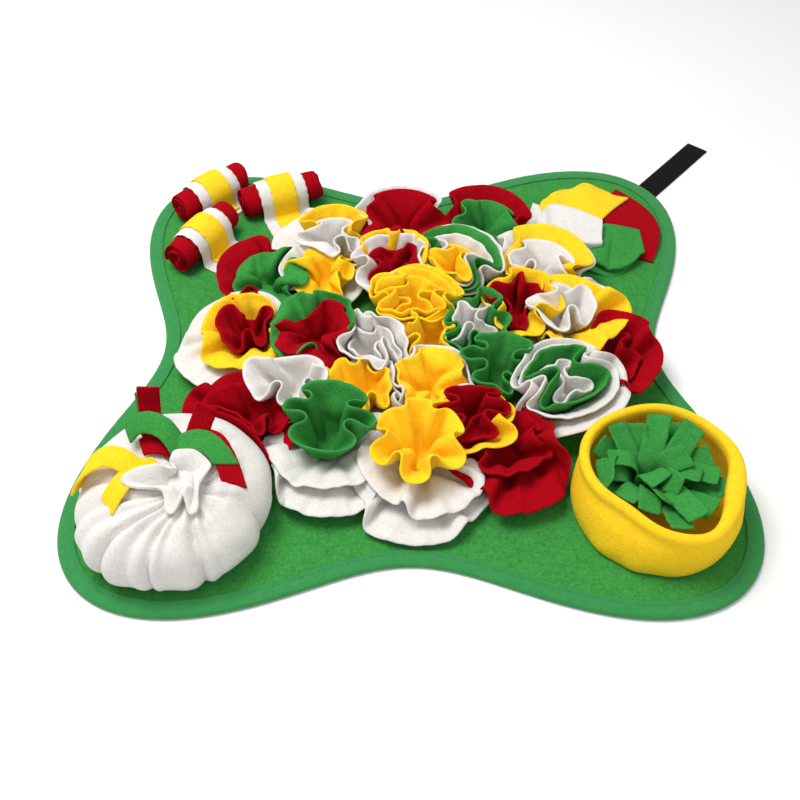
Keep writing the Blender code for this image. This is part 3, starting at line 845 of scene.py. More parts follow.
class Settler:
    """Lets many rounds of cloth grow to their size, push each other aside and come to rest.

    The cloth is rings of particles whose distances are kept, in millimetres. Particles of
    cloth that isn't neighbouring keep a cloth's thickness apart.
    """

    RINGS = 11
    COLUMNS = 60
    START = 0.5                 # share of its size at which a round starts
    DAMPING = 0.86
    FASTEST = 1.1
    PULL = 0.035                # how strongly cloth is drawn to its drawn shape while it grows
    RESTING_PULL = 0.25         # what is left of that afterwards
    FURTHEST_PULL = 0.3
    FALL = 0.03
    TIGHTEST = 5.0              # the tightest curve that the cloth takes along a ring
    BENDS = (2, 4, 7, 12)       # particles along a ring between which that is kept
    STRAIGHT = 0.97             # how nearly straight it stays from its middle outwards
    CREASE = (8.0, 36.0)        # the narrowest and the widest crease between petals, in degrees
    STEEPEST = 98               # the steepest that a crease stands, in degrees
    WIDEST = 4.2                # the most that two particles keep apart
    ROOM = 1.6                  # how much further apart pairs are looked for
    NEIGHBOUR = 90.0            # square of the flat distance up to which particles are neighbours
    LOWEST = MAT_FLOOR + 1.0
    # the share of each kind of error that one step mends
    STRETCH = 0.9
    SHEAR = 0.12
    BEND = 0.3
    CURL = 0.25
    PUSH = 0.8

    def __init__(self, flowers: Sequence[Flower]) -> None:
        """Place every round of every flower in its starting shape.

        Args:
            flowers: The flowers.
        """
        self.phi = np.arange(self.COLUMNS) * 2 * math.pi / self.COLUMNS
        shapes, flats, starts = [], [], []
        for flower in flowers:
            for level, cloth in enumerate(flower.rounds):
                shape, flat = self.draw(flower, cloth, level)
                starts.append(self.draw(flower, flower.folded(level), level)[0])
                shapes.append(shape)
                flats.append(flat)
        self.shape = np.array(shapes)
        self.flat = np.array(flats)
        self.root = self.shape[:, :1].copy()
        self.root_flat = self.flat[:, :1]
        self.grown = self.START
        self.x = self.root + (np.array(starts) - self.root) * self.grown
        self.before = self.x.copy()
        self.owner = np.repeat(np.arange(len(self.x)), self.RINGS * self.COLUMNS)
        share = np.linspace(0, 1, self.RINGS)
        girth = 1.25 + 0.85 * np.minimum(share * 1.6, 1)
        self.girth = np.tile(np.repeat(girth, self.COLUMNS), len(self.x))

    def draw(self, flower: Flower, cloth: Round, level: int) -> tuple[np.ndarray, np.ndarray]:
        """Draw a round at its full size.

        Its petals stand where they are asked to, and the creases between them take up the
        cloth that is left over, ring by ring.

        Args:
            flower: The flower that it belongs to.
            cloth: The round.
            level: How many rounds lie under it.

        Returns:
            The points, and the flat distance of each from the middle.
        """
        turn, lean, flare, length, crease = self.petals(cloth)
        start = flower.sewn - flower.TAPER * level
        share = np.linspace(0, 1, self.RINGS)[:, None]
        flat = start + (length - start) * share
        middles = (share[1:] + share[:-1]) / 2
        angle = np.radians(lean + flare * (1 - 2 * middles))
        step = np.diff(flat, axis=0)
        out = np.concatenate([0 * flat[:1], np.cumsum(step * np.cos(angle), 0)])
        rise = np.concatenate([0 * flat[:1], np.cumsum(step * np.sin(angle), 0)])
        points, flats = [], []
        for ring in range(self.RINGS):
            want = flat[ring].mean() * 2 * math.pi
            steepest = np.radians(self.STEEPEST) - np.arctan2(rise[ring], out[ring] + 1e-6)
            most = np.maximum(steepest, 0) * crease
            low, high = 0.0, 1.0
            for _ in range(12):
                middle = (low + high) / 2
                _, run = self.ring_line(start, out[ring], rise[ring], turn, most * middle)
                low, high = (middle, high) if run[-1] < want else (low, middle)
            line, run = self.ring_line(start, out[ring], rise[ring], turn, most * high)
            marks = np.linspace(0, run[-1], self.COLUMNS, endpoint=False)
            points.append(np.stack([np.interp(marks, run, line[:, axis]) for axis in range(3)], -1))
            flats.append(np.interp(marks, run, flat[ring]))
        foot = np.array([*flower.middle, MAT_FLOOR + flower.LAYER * level])
        return np.array(points) + foot, np.array(flats)

    def ring_line(self, start: float, out: np.ndarray, rise: np.ndarray, turn: np.ndarray,
                  tilt: np.ndarray) -> tuple[np.ndarray, np.ndarray]:
        """Draw a ring of a round.

        Args:
            start: Radius of the sewn spot.
            out: How far beyond that the ring lies, at each heading.
            rise: How high.
            turn: The headings.
            tilt: The angle by which the cloth is tilted up there.

        Returns:
            The ring's points, and the distance along it.
        """
        reach = np.maximum(start + out * np.cos(tilt) - rise * np.sin(tilt), 1.0)
        line = np.stack([reach * np.cos(turn), reach * np.sin(turn),
                         out * np.sin(tilt) + rise * np.cos(tilt)], -1)
        return line, distances(line)

    def petals(self, cloth: Round) -> tuple[np.ndarray, ...]:
        """Spread a round's petals over its headings.

        Args:
            cloth: The round.

        Returns:
            Headings, and the lean, the flare, the length and the depth of the crease at each.
        """
        rows = sorted(((heading - cloth.petals[0][0]) % 360, spread, lean, flare, length)
                      for heading, spread, lean, flare, length in cloth.petals)
        table = np.array(rows)
        heading = np.linspace(0, 360, 361)
        left = np.clip(np.searchsorted(table[:, 0], heading, side="right") - 1, 0, len(rows) - 1)
        right = (left + 1) % len(rows)
        gap = (table[right, 0] - table[left, 0]) % 360
        gap = np.where(gap == 0, 360.0, gap)
        off = heading - table[left, 0]
        free = np.clip(gap - table[left, 1] - table[right, 1], *self.CREASE)
        both = table[left, 1] + table[right, 1]
        share = np.clip((off - (gap - free) * table[left, 1] / both) / free, 0, 1)
        ease = (share * share * (3 - 2 * share))[:, None]
        lean, flare, length = (table[left, 2:] * (1 - ease) + table[right, 2:] * ease).T
        bend = np.radians(np.minimum(off, gap - off))
        lean = np.degrees(np.arctan(np.tan(np.radians(lean)) * (0.45 + 0.55 * np.cos(bend))))
        crease = 0.5 - 0.5 * np.cos(2 * math.pi * share)
        return np.radians(heading + cloth.petals[0][0]), lean, flare, length, crease

    def keep(self, a: np.ndarray, b: np.ndarray, rest: np.ndarray, stiff: float,
             only_short: bool = False) -> np.ndarray:
        """Work out the move that brings points to their distance, half for each.

        Args:
            a: Points.
            b: As many others.
            rest: The distance of each pair.
            stiff: The share of the error that is mended.
            only_short: Whether pairs that are too far apart are left.

        Returns:
            The move of a; that of b is its opposite.
        """
        apart = b - a
        size = np.linalg.norm(apart, axis=-1)
        miss = size - rest
        if only_short:
            miss = np.minimum(miss, 0)
        return (stiff * 0.5 * miss / np.maximum(size, 1e-6))[..., None] * apart

    def hold_lengths(self) -> None:
        """Keep the cloth from stretching, shearing and folding too tightly."""
        x = self.x
        flat = self.root_flat + (self.flat - self.root_flat) * self.grown
        step = flat[:, 1:] - flat[:, :-1]
        ring = flat * 2 * math.pi / self.COLUMNS
        for first in (0, 1):
            a, b = x[:, first:-1:2], x[:, first + 1::2]
            move = self.keep(a, b, step[:, first::2], self.STRETCH)
            a += move
            b -= move
        a, b = x[:, :, 0::2], x[:, :, 1::2]
        move = self.keep(a, b, ring[:, :, 0::2], self.STRETCH)
        a += move
        b -= move
        ahead = np.roll(x[:, :, 0::2], -1, 2)
        move = self.keep(x[:, :, 1::2], ahead, ring[:, :, 1::2], self.STRETCH)
        x[:, :, 1::2] += move
        x[:, :, 0::2] -= np.roll(move, 1, 2)
        across = np.hypot(step, (ring[:, 1:] + ring[:, :-1]) / 2)
        for turn in (1, -1):
            move = self.keep(x[:, :-1], np.roll(x[:, 1:], -turn, 2), across, self.SHEAR)
            x[:, :-1] += move
            x[:, 1:] -= np.roll(move, turn, 2)
        for reach in self.BENDS:
            arc = np.minimum(ring * reach / (2 * self.TIGHTEST), math.pi / 2)
            chord = 2 * self.TIGHTEST * np.sin(arc)
            move = self.keep(x, np.roll(x, -reach, 2), chord, self.BEND, only_short=True)
            x += move
            x -= np.roll(move, reach, 2)
        straight = (step[:, 1:] + step[:, :-1]) * self.STRAIGHT
        move = self.keep(x[:, :-2], x[:, 2:], straight, self.CURL, only_short=True)
        x[:, :-2] += move
        x[:, 2:] -= move

    def find_pairs(self) -> None:
        """List the particles that are near each other but not neighbours in one cloth."""
        points = self.x.reshape(-1, 3)
        size = self.WIDEST + self.ROOM
        cell = np.floor((points - points.min(0)) / size).astype(np.int64) + 1
        dims = cell.max(0) + 2
        key = (cell[:, 0] * dims[1] + cell[:, 1]) * dims[2] + cell[:, 2]
        order = np.argsort(key, kind="stable")
        keys = key[order]
        total = int(dims.prod())
        count = np.bincount(keys, minlength=total + 1)
        first = np.concatenate([[0], np.cumsum(count)[:-1]])
        steps = {(dx * dims[1] + dy) * dims[2] + dz
                 for dx in (-1, 0, 1) for dy in (-1, 0, 1) for dz in (-1, 0, 1)}
        spot = np.arange(len(keys))
        flat = np.stack([self.flat * np.cos(self.phi), self.flat * np.sin(self.phi)], -1)
        flat = flat.reshape(-1, 2)
        found_a, found_b = [], []
        for step in sorted(step for step in steps if step >= 0):
            goal = np.minimum(keys + step, total - 1)
            start, many = first[goal], count[goal]
            for k in range(int(many.max())):
                here = many > k
                a, b = spot[here], start[here] + k
                if step == 0:
                    after = b > a
                    a, b = a[after], b[after]
                a, b = order[a], order[b]
                apart = points[a] - points[b]
                near = (apart * apart).sum(1) < size * size
                a, b = a[near], b[near]
                spread = flat[a] - flat[b]
                loose = (self.owner[a] != self.owner[b]) | ((spread * spread).sum(1) > self.NEIGHBOUR)
                found_a.append(a[loose])
                found_b.append(b[loose])
        self.a, self.b = np.concatenate(found_a), np.concatenate(found_b)
        self.reach = self.girth[self.a] + self.girth[self.b]

    def part_pairs(self) -> None:
        """Push apart the listed particles that are too near."""
        points = self.x.reshape(-1, 3)
        apart = points[self.a] - points[self.b]
        size = np.sqrt((apart * apart).sum(1))
        hit = size < self.reach
        a, b, apart, size = self.a[hit], self.b[hit], apart[hit], size[hit]
        move = (self.PUSH * 0.5 * (self.reach[hit] - size) / np.maximum(size, 1e-3))[:, None] * apart
        count = len(points)
        for axis in range(3):
            there, back = (np.bincount(end, move[:, axis], count) for end in (a, b))
            points[:, axis] += there - back

    def run(self, grow: int, rest: int, keepouts: Sequence[Drum | Mound | Barrel]) -> np.ndarray:
        """Grow the cloth to its size and let it rest.

        Args:
            grow: Steps while it grows.
            rest: Steps after that.
            keepouts: Things to keep out of.

        Returns:
            The points of every round.
        """
        for step in range(grow + rest):
            if step < grow:
                grown = self.START + (1 - self.START) * (step + 1) / grow
                swell = (grown / self.grown - 1) * (self.x - self.root)
                self.x += swell
                self.before += swell
                self.grown = grown
            if step % 4 == 0:
                self.find_pairs()
            speed = (self.x - self.before) * self.DAMPING
            size = np.linalg.norm(speed, axis=-1, keepdims=True)
            self.before = self.x.copy()
            self.x += speed * np.minimum(1, self.FASTEST / np.maximum(size, 1e-6))
            self.x[..., 2] -= self.FALL
            pull = self.PULL if step < grow else self.PULL * self.RESTING_PULL
            drawn = self.root + (self.shape - self.root) * self.grown - self.x
            self.x += np.clip(drawn * pull, -self.FURTHEST_PULL, self.FURTHEST_PULL)
            for _ in range(2):
                self.hold_lengths()
            self.part_pairs()
            self.x[..., 2] = np.maximum(self.x[..., 2], self.LOWEST)
            for thing in keepouts:
                thing.push(self.x)
            self.x[:, :1] = self.root
        return self.x


# short names for the tables
W, Y, R, G = Cloth.WHITE, Cloth.YELLOW, Cloth.RED, Cloth.GREEN


@dataclass
class Ruffles:
    """The field of ruffled rounds between the rolls, the pocket, the pouch and the bowl."""

    thick: float = 2.3
    grow: int = 90              # steps in which the rounds grow, and then rest
    rest: int = 45
    smoothing: float = 0.35
    keepouts: tuple[Drum | Mound | Barrel, ...] = (
        Drum(*POUCH_SPOT, 71, 62), Drum(*BOWL_SPOT, 63.5, 54),
        Mound(*POCKET_SPOT, 72, 24, MAT_FLOOR + 7),
        *(Barrel(*spot, 40, 20.5) for spot in ROLL_SPOTS.values()))
    # headings, spreads, leans, flares and lengths of the petals, as drawn
    flowers: tuple[Flower, ...] = (
        Flower("back_left", (-66, 122), (
            Round(W, ((172, 50, 20, 36, 64), (85, 30, 46, 16, 52), (250, 25, 38, 30, 48),
                      (340, 30, 30, 20, 40)), "_outer"),
            Round(Y, ((104, 58, 62, 4, 54), (215, 20, 52, 16, 42), (320, 30, 46, 20, 38)), "_inner"),
            Round(W, ((90, 50, 64, 10, 40), (235, 45, 44, 44, 48), (330, 20, 50, 20, 38))))),
        Flower("back_middle", (-6, 142), (
            Round(W, ((112, 62, 54, 4, 62), (230, 25, 24, 30, 42), (330, 30, 30, 20, 42)), "_outer"),
            Round(R, ((82, 55, 56, 12, 56), (200, 50, 38, 54, 58), (320, 50, 38, 54, 58)), "_inner"))),
        Flower("back_right", (66, 146), (
            Round(R, ((62, 65, 54, 2, 60), (190, 25, 44, 10, 46), (290, 35, 26, 30, 44)), "_outer"),
            Round(G, ((58, 40, 54, 6, 44), (132, 16, 64, 0, 46), (205, 22, 50, 14, 42),
                      (305, 35, 34, 40, 50)), "_inner"))),
        Flower("upper_left", (-120, 76), (
            Round(R, ((172, 66, 46, 22, 60), (70, 25, 44, 20, 46), (290, 25, 34, 30, 48)), "_outer"),
            Round(G, ((15, 48, 34, 58, 52), (135, 50, 46, 50, 42), (265, 48, 34, 56, 50)), "_inner"))),
        Flower("upper_gap", (-74, 80), (
            Round(W, ((165, 50, 46, 30, 52), (240, 22, 34, 46, 50), (60, 25, 44, 20, 40),
                      (330, 25, 30, 20, 40)), ""),
            Round(Y, ((225, 60, 38, 48, 48), (100, 40, 54, 26, 44), (0, 20, 54, 16, 40))))),
        Flower("upper_middle", (-12, 86), (
            Round(Y, ((125, 25, 60, 4, 58), (60, 25, 58, 6, 58), (200, 25, 44, 20, 44),
                      (310, 25, 30, 20, 38))),
            Round(W, ((110, 78, 56, 0, 53), (232, 28, 40, 40, 52), (330, 25, 34, 20, 40)), ""),
            Round(R, ((255, 50, 44, 44, 38), (15, 42, 44, 52, 42), (130, 48, 50, 46, 40))))),
        Flower("upper_inner", (40, 92), (
            Round(W, ((62, 78, 56, 0, 58), (250, 60, 40, 16, 42))),
            Round(G, ((58, 76, 56, 2, 54), (245, 60, 48, 14, 42)), "_outer"),
            Round(W, ((55, 72, 60, 2, 44), (240, 62, 54, 12, 38))),
            Round(Y, ((55, 60, 62, 2, 32), (225, 62, 52, 20, 38)), "_inner"))),
        Flower("upper_right", (112, 88), (
            Round(W, ((72, 62, 44, 12, 60), (190, 25, 38, 20, 44), (300, 25, 26, 20, 42))),
            Round(Y, ((42, 68, 46, 8, 58), (170, 25, 50, 14, 44), (300, 25, 34, 24, 46)), "_outer"),
            Round(W, ((60, 66, 52, 16, 42), (190, 25, 54, 14, 42), (290, 30, 42, 30, 44)), "_inner"))),
        Flower("waist_left", (-130, 12), (
            Round(W, ((150, 38, 24, 26, 58), (232, 42, 14, 30, 70), (85, 25, 40, 16, 56),
                      (0, 40, 40, 10, 34)), "_outer"),
            Round(Y, ((150, 45, 48, 14, 50), (85, 22, 52, 16, 48), (272, 48, 30, 40, 58),
                      (0, 30, 54, 4, 30)), "_inner"),
            Round(R, ((186, 60, 56, 4, 42), (6, 56, 60, -2, 38), (98, 22, 64, -4, 27))))),
        Flower("waist_inner", (-76, 8), (
            Round(G, ((180, 66, 46, 48, 58), (40, 50, 60, 4, 56), (300, 24, 44, 24, 32)), "_outer"),
            Round(R, ((250, 62, 38, 50, 54), (20, 60, 46, 40, 48), (130, 30, 58, 4, 32)), "_inner"))),
        Flower("inner_left", (-28, -6), (
            Round(W, ((200, 66, 58, 0, 54), (30, 62, 56, 2, 50)), ""),
            Round(W, ((208, 66, 62, 0, 38), (36, 62, 62, 0, 34))))),
        Flower("centre", (4, 44), (
            Round(Y, ((80, 62, 58, 0, 54), (175, 36, 56, 4, 56), (258, 50, 48, 18, 54)), ""),
            Round(Y, ((66, 62, 60, -2, 48), (162, 30, 58, 2, 50), (246, 58, 54, 10, 50))),
            Round(Y, ((80, 70, 62, -2, 38), (262, 68, 60, 2, 34))))),
        Flower("centre_front", (18, 2), (
            Round(Y, ((75, 55, 58, 4, 50), (175, 26, 56, 8, 46), (280, 50, 50, 20, 46))),)),
        Flower("inner_right", (52, 12), (
            Round(G, ((58, 22, 60, 4, 58), (140, 60, 64, -2, 48), (238, 24, 50, 20, 52),
                      (322, 58, 62, -2, 50)), ""),
            Round(W, ((140, 64, 58, 4, 44), (322, 55, 66, 0, 34))))),
        Flower("waist_right", (92, 38), (
            Round(Y, ((30, 60, 58, 0, 56), (155, 40, 56, 4, 50), (262, 40, 42, 40, 54)), ""),
            Round(R, ((140, 60, 58, 0, 48), (20, 50, 58, 0, 44), (265, 45, 56, 6, 34))))),
        Flower("edge_right", (126, 28), (
            Round(W, ((18, 45, 22, 26, 64), (90, 30, 40, 20, 52), (290, 35, 28, 30, 50),
                      (195, 30, 34, 20, 42)), ""),
            Round(Y, ((325, 58, 34, 26, 66), (50, 40, 50, 12, 54), (200, 30, 40, 20, 42))),
            Round(W, ((0, 58, 60, 6, 46), (95, 28, 58, 8, 44), (220, 48, 52, 26, 48))))),
        Flower("lower_left", (-118, -76), (
            Round(R, ((228, 70, 30, 24, 62), (130, 25, 38, 30, 54), (30, 40, 34, 20, 42)), ""),
            Round(R, ((222, 60, 48, 26, 50), (330, 25, 44, 26, 44), (90, 40, 44, 16, 40))))),
        Flower("lower_white", (-90, -50), (
            Round(Y, ((195, 60, 34, 28, 50), (340, 40, 44, 16, 46), (80, 40, 44, 14, 40))),
            Round(W, ((200, 44, 54, 18, 56), (275, 28, 56, 12, 54), (340, 24, 60, 0, 52),
                      (85, 60, 58, 2, 44)), ""))),
        Flower("lower_inner", (-36, -54), (
            Round(W, ((262, 60, 46, 12, 52), (30, 50, 52, 8, 48), (145, 45, 52, 8, 44))),
            Round(Y, ((170, 40, 56, 2, 46), (250, 38, 54, 8, 44), (20, 70, 56, 4, 44)), ""))),
        Flower("lower_middle", (16, -48), (
            Round(W, ((50, 60, 52, 6, 52), (165, 30, 50, 10, 48), (265, 45, 38, 34, 50))),
            Round(Y, ((75, 50, 42, 50, 48), (190, 45, 38, 52, 46), (305, 50, 34, 52, 48)), ""))),
        Flower("lower_cup", (68, -38), (
            Round(G, ((72, 62, 64, 0, 56), (165, 8, 60, 6, 54), (255, 58, 62, 0, 47),
                      (340, 8, 56, 12, 48)), ""),)),
        Flower("lower_right", (118, -50), (
            Round(W, ((115, 62, 58, 0, 58), (308, 66, 38, 16, 62)), "_outer"),
            Round(W, ((115, 62, 58, 0, 50), (306, 62, 46, 12, 54))),
            Round(G, ((118, 66, 62, -2, 48), (300, 66, 56, 2, 48)), "_inner"),
            Round(W, ((118, 60, 66, 0, 32), (298, 60, 66, 0, 32))))),
        Flower("edge_lower", (158, -20), (
            Round(R, ((335, 62, 44, 16, 54), (240, 28, 38, 26, 46), (62, 35, 50, 12, 60),
                      (160, 30, 50, 10, 34)), ""),
            Round(R, ((335, 55, 56, 12, 36), (62, 34, 60, 6, 42), (205, 40, 56, 4, 30))))),
        Flower("front_left", (-60, -98), (
            Round(W, ((262, 50, 14, 24, 72), (200, 22, 30, 26, 60), (340, 35, 22, 30, 64),
                      (90, 40, 34, 14, 42)), "_outer"),
            Round(W, ((275, 80, 28, 22, 58), (80, 60, 34, 10, 36))),
            Round(G, ((78, 66, 66, -4, 58), (168, 8, 56, 12, 56), (256, 64, 56, 4, 50),
                      (344, 8, 52, 24, 58)), "_inner"))),
        Flower("front_middle", (6, -114), (
            Round(W, ((262, 45, 8, 20, 74), (318, 28, 12, 24, 66), (205, 30, 22, 24, 60),
                      (90, 45, 40, 16, 44)), "_outer"),
            Round(W, ((300, 45, 20, 24, 62), (225, 35, 28, 24, 56), (10, 25, 26, 16, 38),
                      (110, 40, 46, 16, 42))),
            Round(Y, ((265, 14, 42, 50, 58), (318, 14, 44, 48, 58), (212, 14, 44, 48, 60),
                      (20, 22, 54, 22, 54), (90, 20, 58, 16, 54), (152, 20, 54, 24, 54)), "_inner"))),
        Flower("front_right", (70, -104), (
            Round(R, ((292, 45, 18, 26, 66), (350, 14, 60, 16, 60), (225, 28, 28, 30, 58),
                      (45, 30, 46, 18, 48), (130, 30, 46, 18, 46)), "_outer"),
            Round(R, ((300, 60, 46, 14, 46), (40, 40, 56, 6, 40), (150, 45, 50, 8, 34))))),
        Flower("front_cup", (46, -86), (
            Round(Y, ((88, 60, 58, 2, 48), (178, 10, 52, 14, 52), (285, 60, 50, 14, 54),
                      (355, 10, 52, 16, 50))),
            Round(R, ((92, 66, 66, -4, 48), (178, 6, 60, 8, 47), (272, 62, 62, 0, 42),
                      (0, 6, 58, 12, 50))))),
    )

    def build(self) -> list[bpy.types.Object]:
        """Settle all the rounds together and make each one a piece.

        Returns:
            The new pieces.
        """
        settler = Settler(self.flowers)
        part = 1
        shapes = settler.run(self.grow // part, self.rest // part, self.keepouts)
        rounds = [(flower, level) for flower in self.flowers for level in range(len(flower.rounds))]
        return [self.sew(flower, level, rows, flat)
                for (flower, level), rows, flat in zip(rounds, shapes, settler.flat)]

    def sew(self, flower: Flower, level: int, rows: Rows, flat: np.ndarray) -> bpy.types.Object:
        """Make one settled round a piece.

        Args:
            flower: The flower that it belongs to.
            level: How many rounds lie under it.
            rows: Its settled points.
            flat: How far each lies from the middle when the round is flat.

        Returns:
            The new piece.
        """
        cloth = flower.rounds[level]
        thing = skin(f"cloth_{flower.name}_{level}", self.soften(rows), hoop=True, root=True)
        thicken(thing, self.thick)
        dress(thing, cloth.finish, [] if cloth.part is None else [f"round_{flower.name}{cloth.part}"])
        rim = flat[-1]
        turn = 2 * math.pi / len(rim)
        area = 0.5 * math.sin(turn) * float((rim * np.roll(rim, -1)).sum())
        under = f"cloth_{flower.name}_{level - 1}" if level else "mat_cloth"
        return thing

    def soften(self, rows: Rows) -> Rows:
        """Move the points of a hooped sheet part of the way to their neighbours.

        Args:
            rows: The points.

        Returns:
            The moved points.
        """
        out = rows.copy()
        around = (np.roll(rows, 1, 1) + np.roll(rows, -1, 1)) / 2
        out += self.smoothing * 0.5 * (around - rows)
        middle = (rows[:-2] + rows[2:]) / 2
        out[1:-1] += self.smoothing * 0.5 * (middle - rows[1:-1])
        return out


# ---- rolls ---------------------------------------------------------------------------------
@dataclass
class Roll:
    """A roll of red fleece with a white and a yellow band over it that run out on the mat."""

    name: str
    x: float
    y: float
    heading: float
    tail: float                 # how far the bands run out
    loose: float                # how ragged the windings are at the roll's left end
    length: float = 76.0
    radius: float = 15.0
    inner: float = 2.0          # radius at which the winding starts
    pitch: float = 2.5
    steps: int = 20             # points on each turn
    thick: float = 1.9
    bands: tuple[tuple[Cloth, float], ...] = ((Cloth.WHITE, 46.0), (Cloth.YELLOW, 24.0))
    band_thick: float = 1.5

    def axes(self) -> tuple[np.ndarray, np.ndarray, np.ndarray]:
        """Work out how the roll lies.

        Returns:
            Its middle on the mat, the way along it and the way forward.
        """
        turn = math.radians(self.heading)
        along = np.array([math.cos(turn), math.sin(turn), 0.0])
        return np.array([self.x, self.y, 0.0]), along, np.array([along[1], -along[0], 0.0])

    def build_core(self) -> bpy.types.Object:
        """Wind the red core.

        Returns:
            The new piece.
        """
        middle, along, forward = self.axes()
        outer = self.radius - self.thick / 2
        turns = (outer - self.inner) / self.pitch
        count = int(turns * self.steps)
        rows = []
        total = 0.0
        for step in range(count + 1):
            share = step / count
            angle = math.radians(-150) - 2 * math.pi * turns * (1 - share)
            reach = self.inner + (outer - self.inner) * share
            if step:
                total += reach * 2 * math.pi * turns / count
            out = forward * math.cos(angle) * reach
            high = MAT_FLOOR + self.radius + reach * math.sin(angle)
            wobble = 1.1 * math.sin(angle * 1.3 + self.x) + 0.7 * math.sin(angle * 2.9 + self.y)
            slip = (1 - share) * (1.5 + self.loose * math.sin(angle * 0.7))
            left = -self.length / 2 + 0.8 * wobble - slip
            right = self.length / 2 + wobble * 0.9 + 1.2 * (1 - share)
            row = []
            for part in np.linspace(0, 1, 7):
                run = left + (right - left) * part
                sag = 0.25 * math.sin(run * 0.13 + angle * 2)
                spot = middle + along * run + out * (1 + sag / max(reach, 4))
                row.append(spot + np.array([0, 0, high]))
            rows.append(row)
        thing = skin(self.name + "_winding", np.array(rows))
        thicken(thing, self.thick)
        dress(thing, Cloth.RED, [self.name + "_core"])
        total * MM
        return thing

    def band_line(self, layer: int) -> np.ndarray:
        """Draw a band's line across the roll.

        Args:
            layer: How many bands it lies on.

        Returns:
            Points: the distance forward of the axis, and the height.
        """
        gap = 0.35
        out = self.radius + gap + self.band_thick / 2 + layer * (self.band_thick + gap)
        high = MAT_FLOOR + self.radius
        line = [(out * math.cos(turn), high + out * math.sin(turn))
                for turn in np.radians(np.linspace(215, 0, 30))]
        foot = 5.0 - layer * (self.band_thick + gap) + self.band_thick / 2
        low = MAT_FLOOR + self.band_thick / 2 + layer * (self.band_thick + gap)
        line += [(out + foot + foot * math.cos(turn), low + foot + foot * math.sin(turn))
                 for turn in np.radians(np.linspace(185, 270, 7))]
        end = line[-1][0] + max(self.tail - 4.0 * layer, 2.0)
        start = line[-1][0]
        line += [(start + (end - start) * share, low + 0.5 * math.sin(3 * share) * (1 + layer))
                 for share in np.linspace(0.2, 1.0, 6)]
        return np.array(line)

    def build_bands(self) -> list[bpy.types.Object]:
        """Lay the white and the yellow band over the roll.

        Returns:
            The new pieces.
        """
        middle, along, forward = self.axes()
        pieces = []
        for layer, (finish, width) in enumerate(self.bands):
            line = self.band_line(layer)
            path = middle + forward * line[:, :1] + np.array([0, 0, 1.0]) * line[:, 1:]
            strip = Strip(path, np.tile(along, (len(path), 1)), width, self.band_thick, cells=8,
                          cup=-0.25, ragged=0.5, seed=self.x + layer)
            word = finish.name.lower()
            pieces.append(strip.build(f"{self.name}_band_{word}", finish, [f"{self.name}_{word}"],
                                      "folded", [self.name + "_winding", "mat_cloth"]))
        return pieces


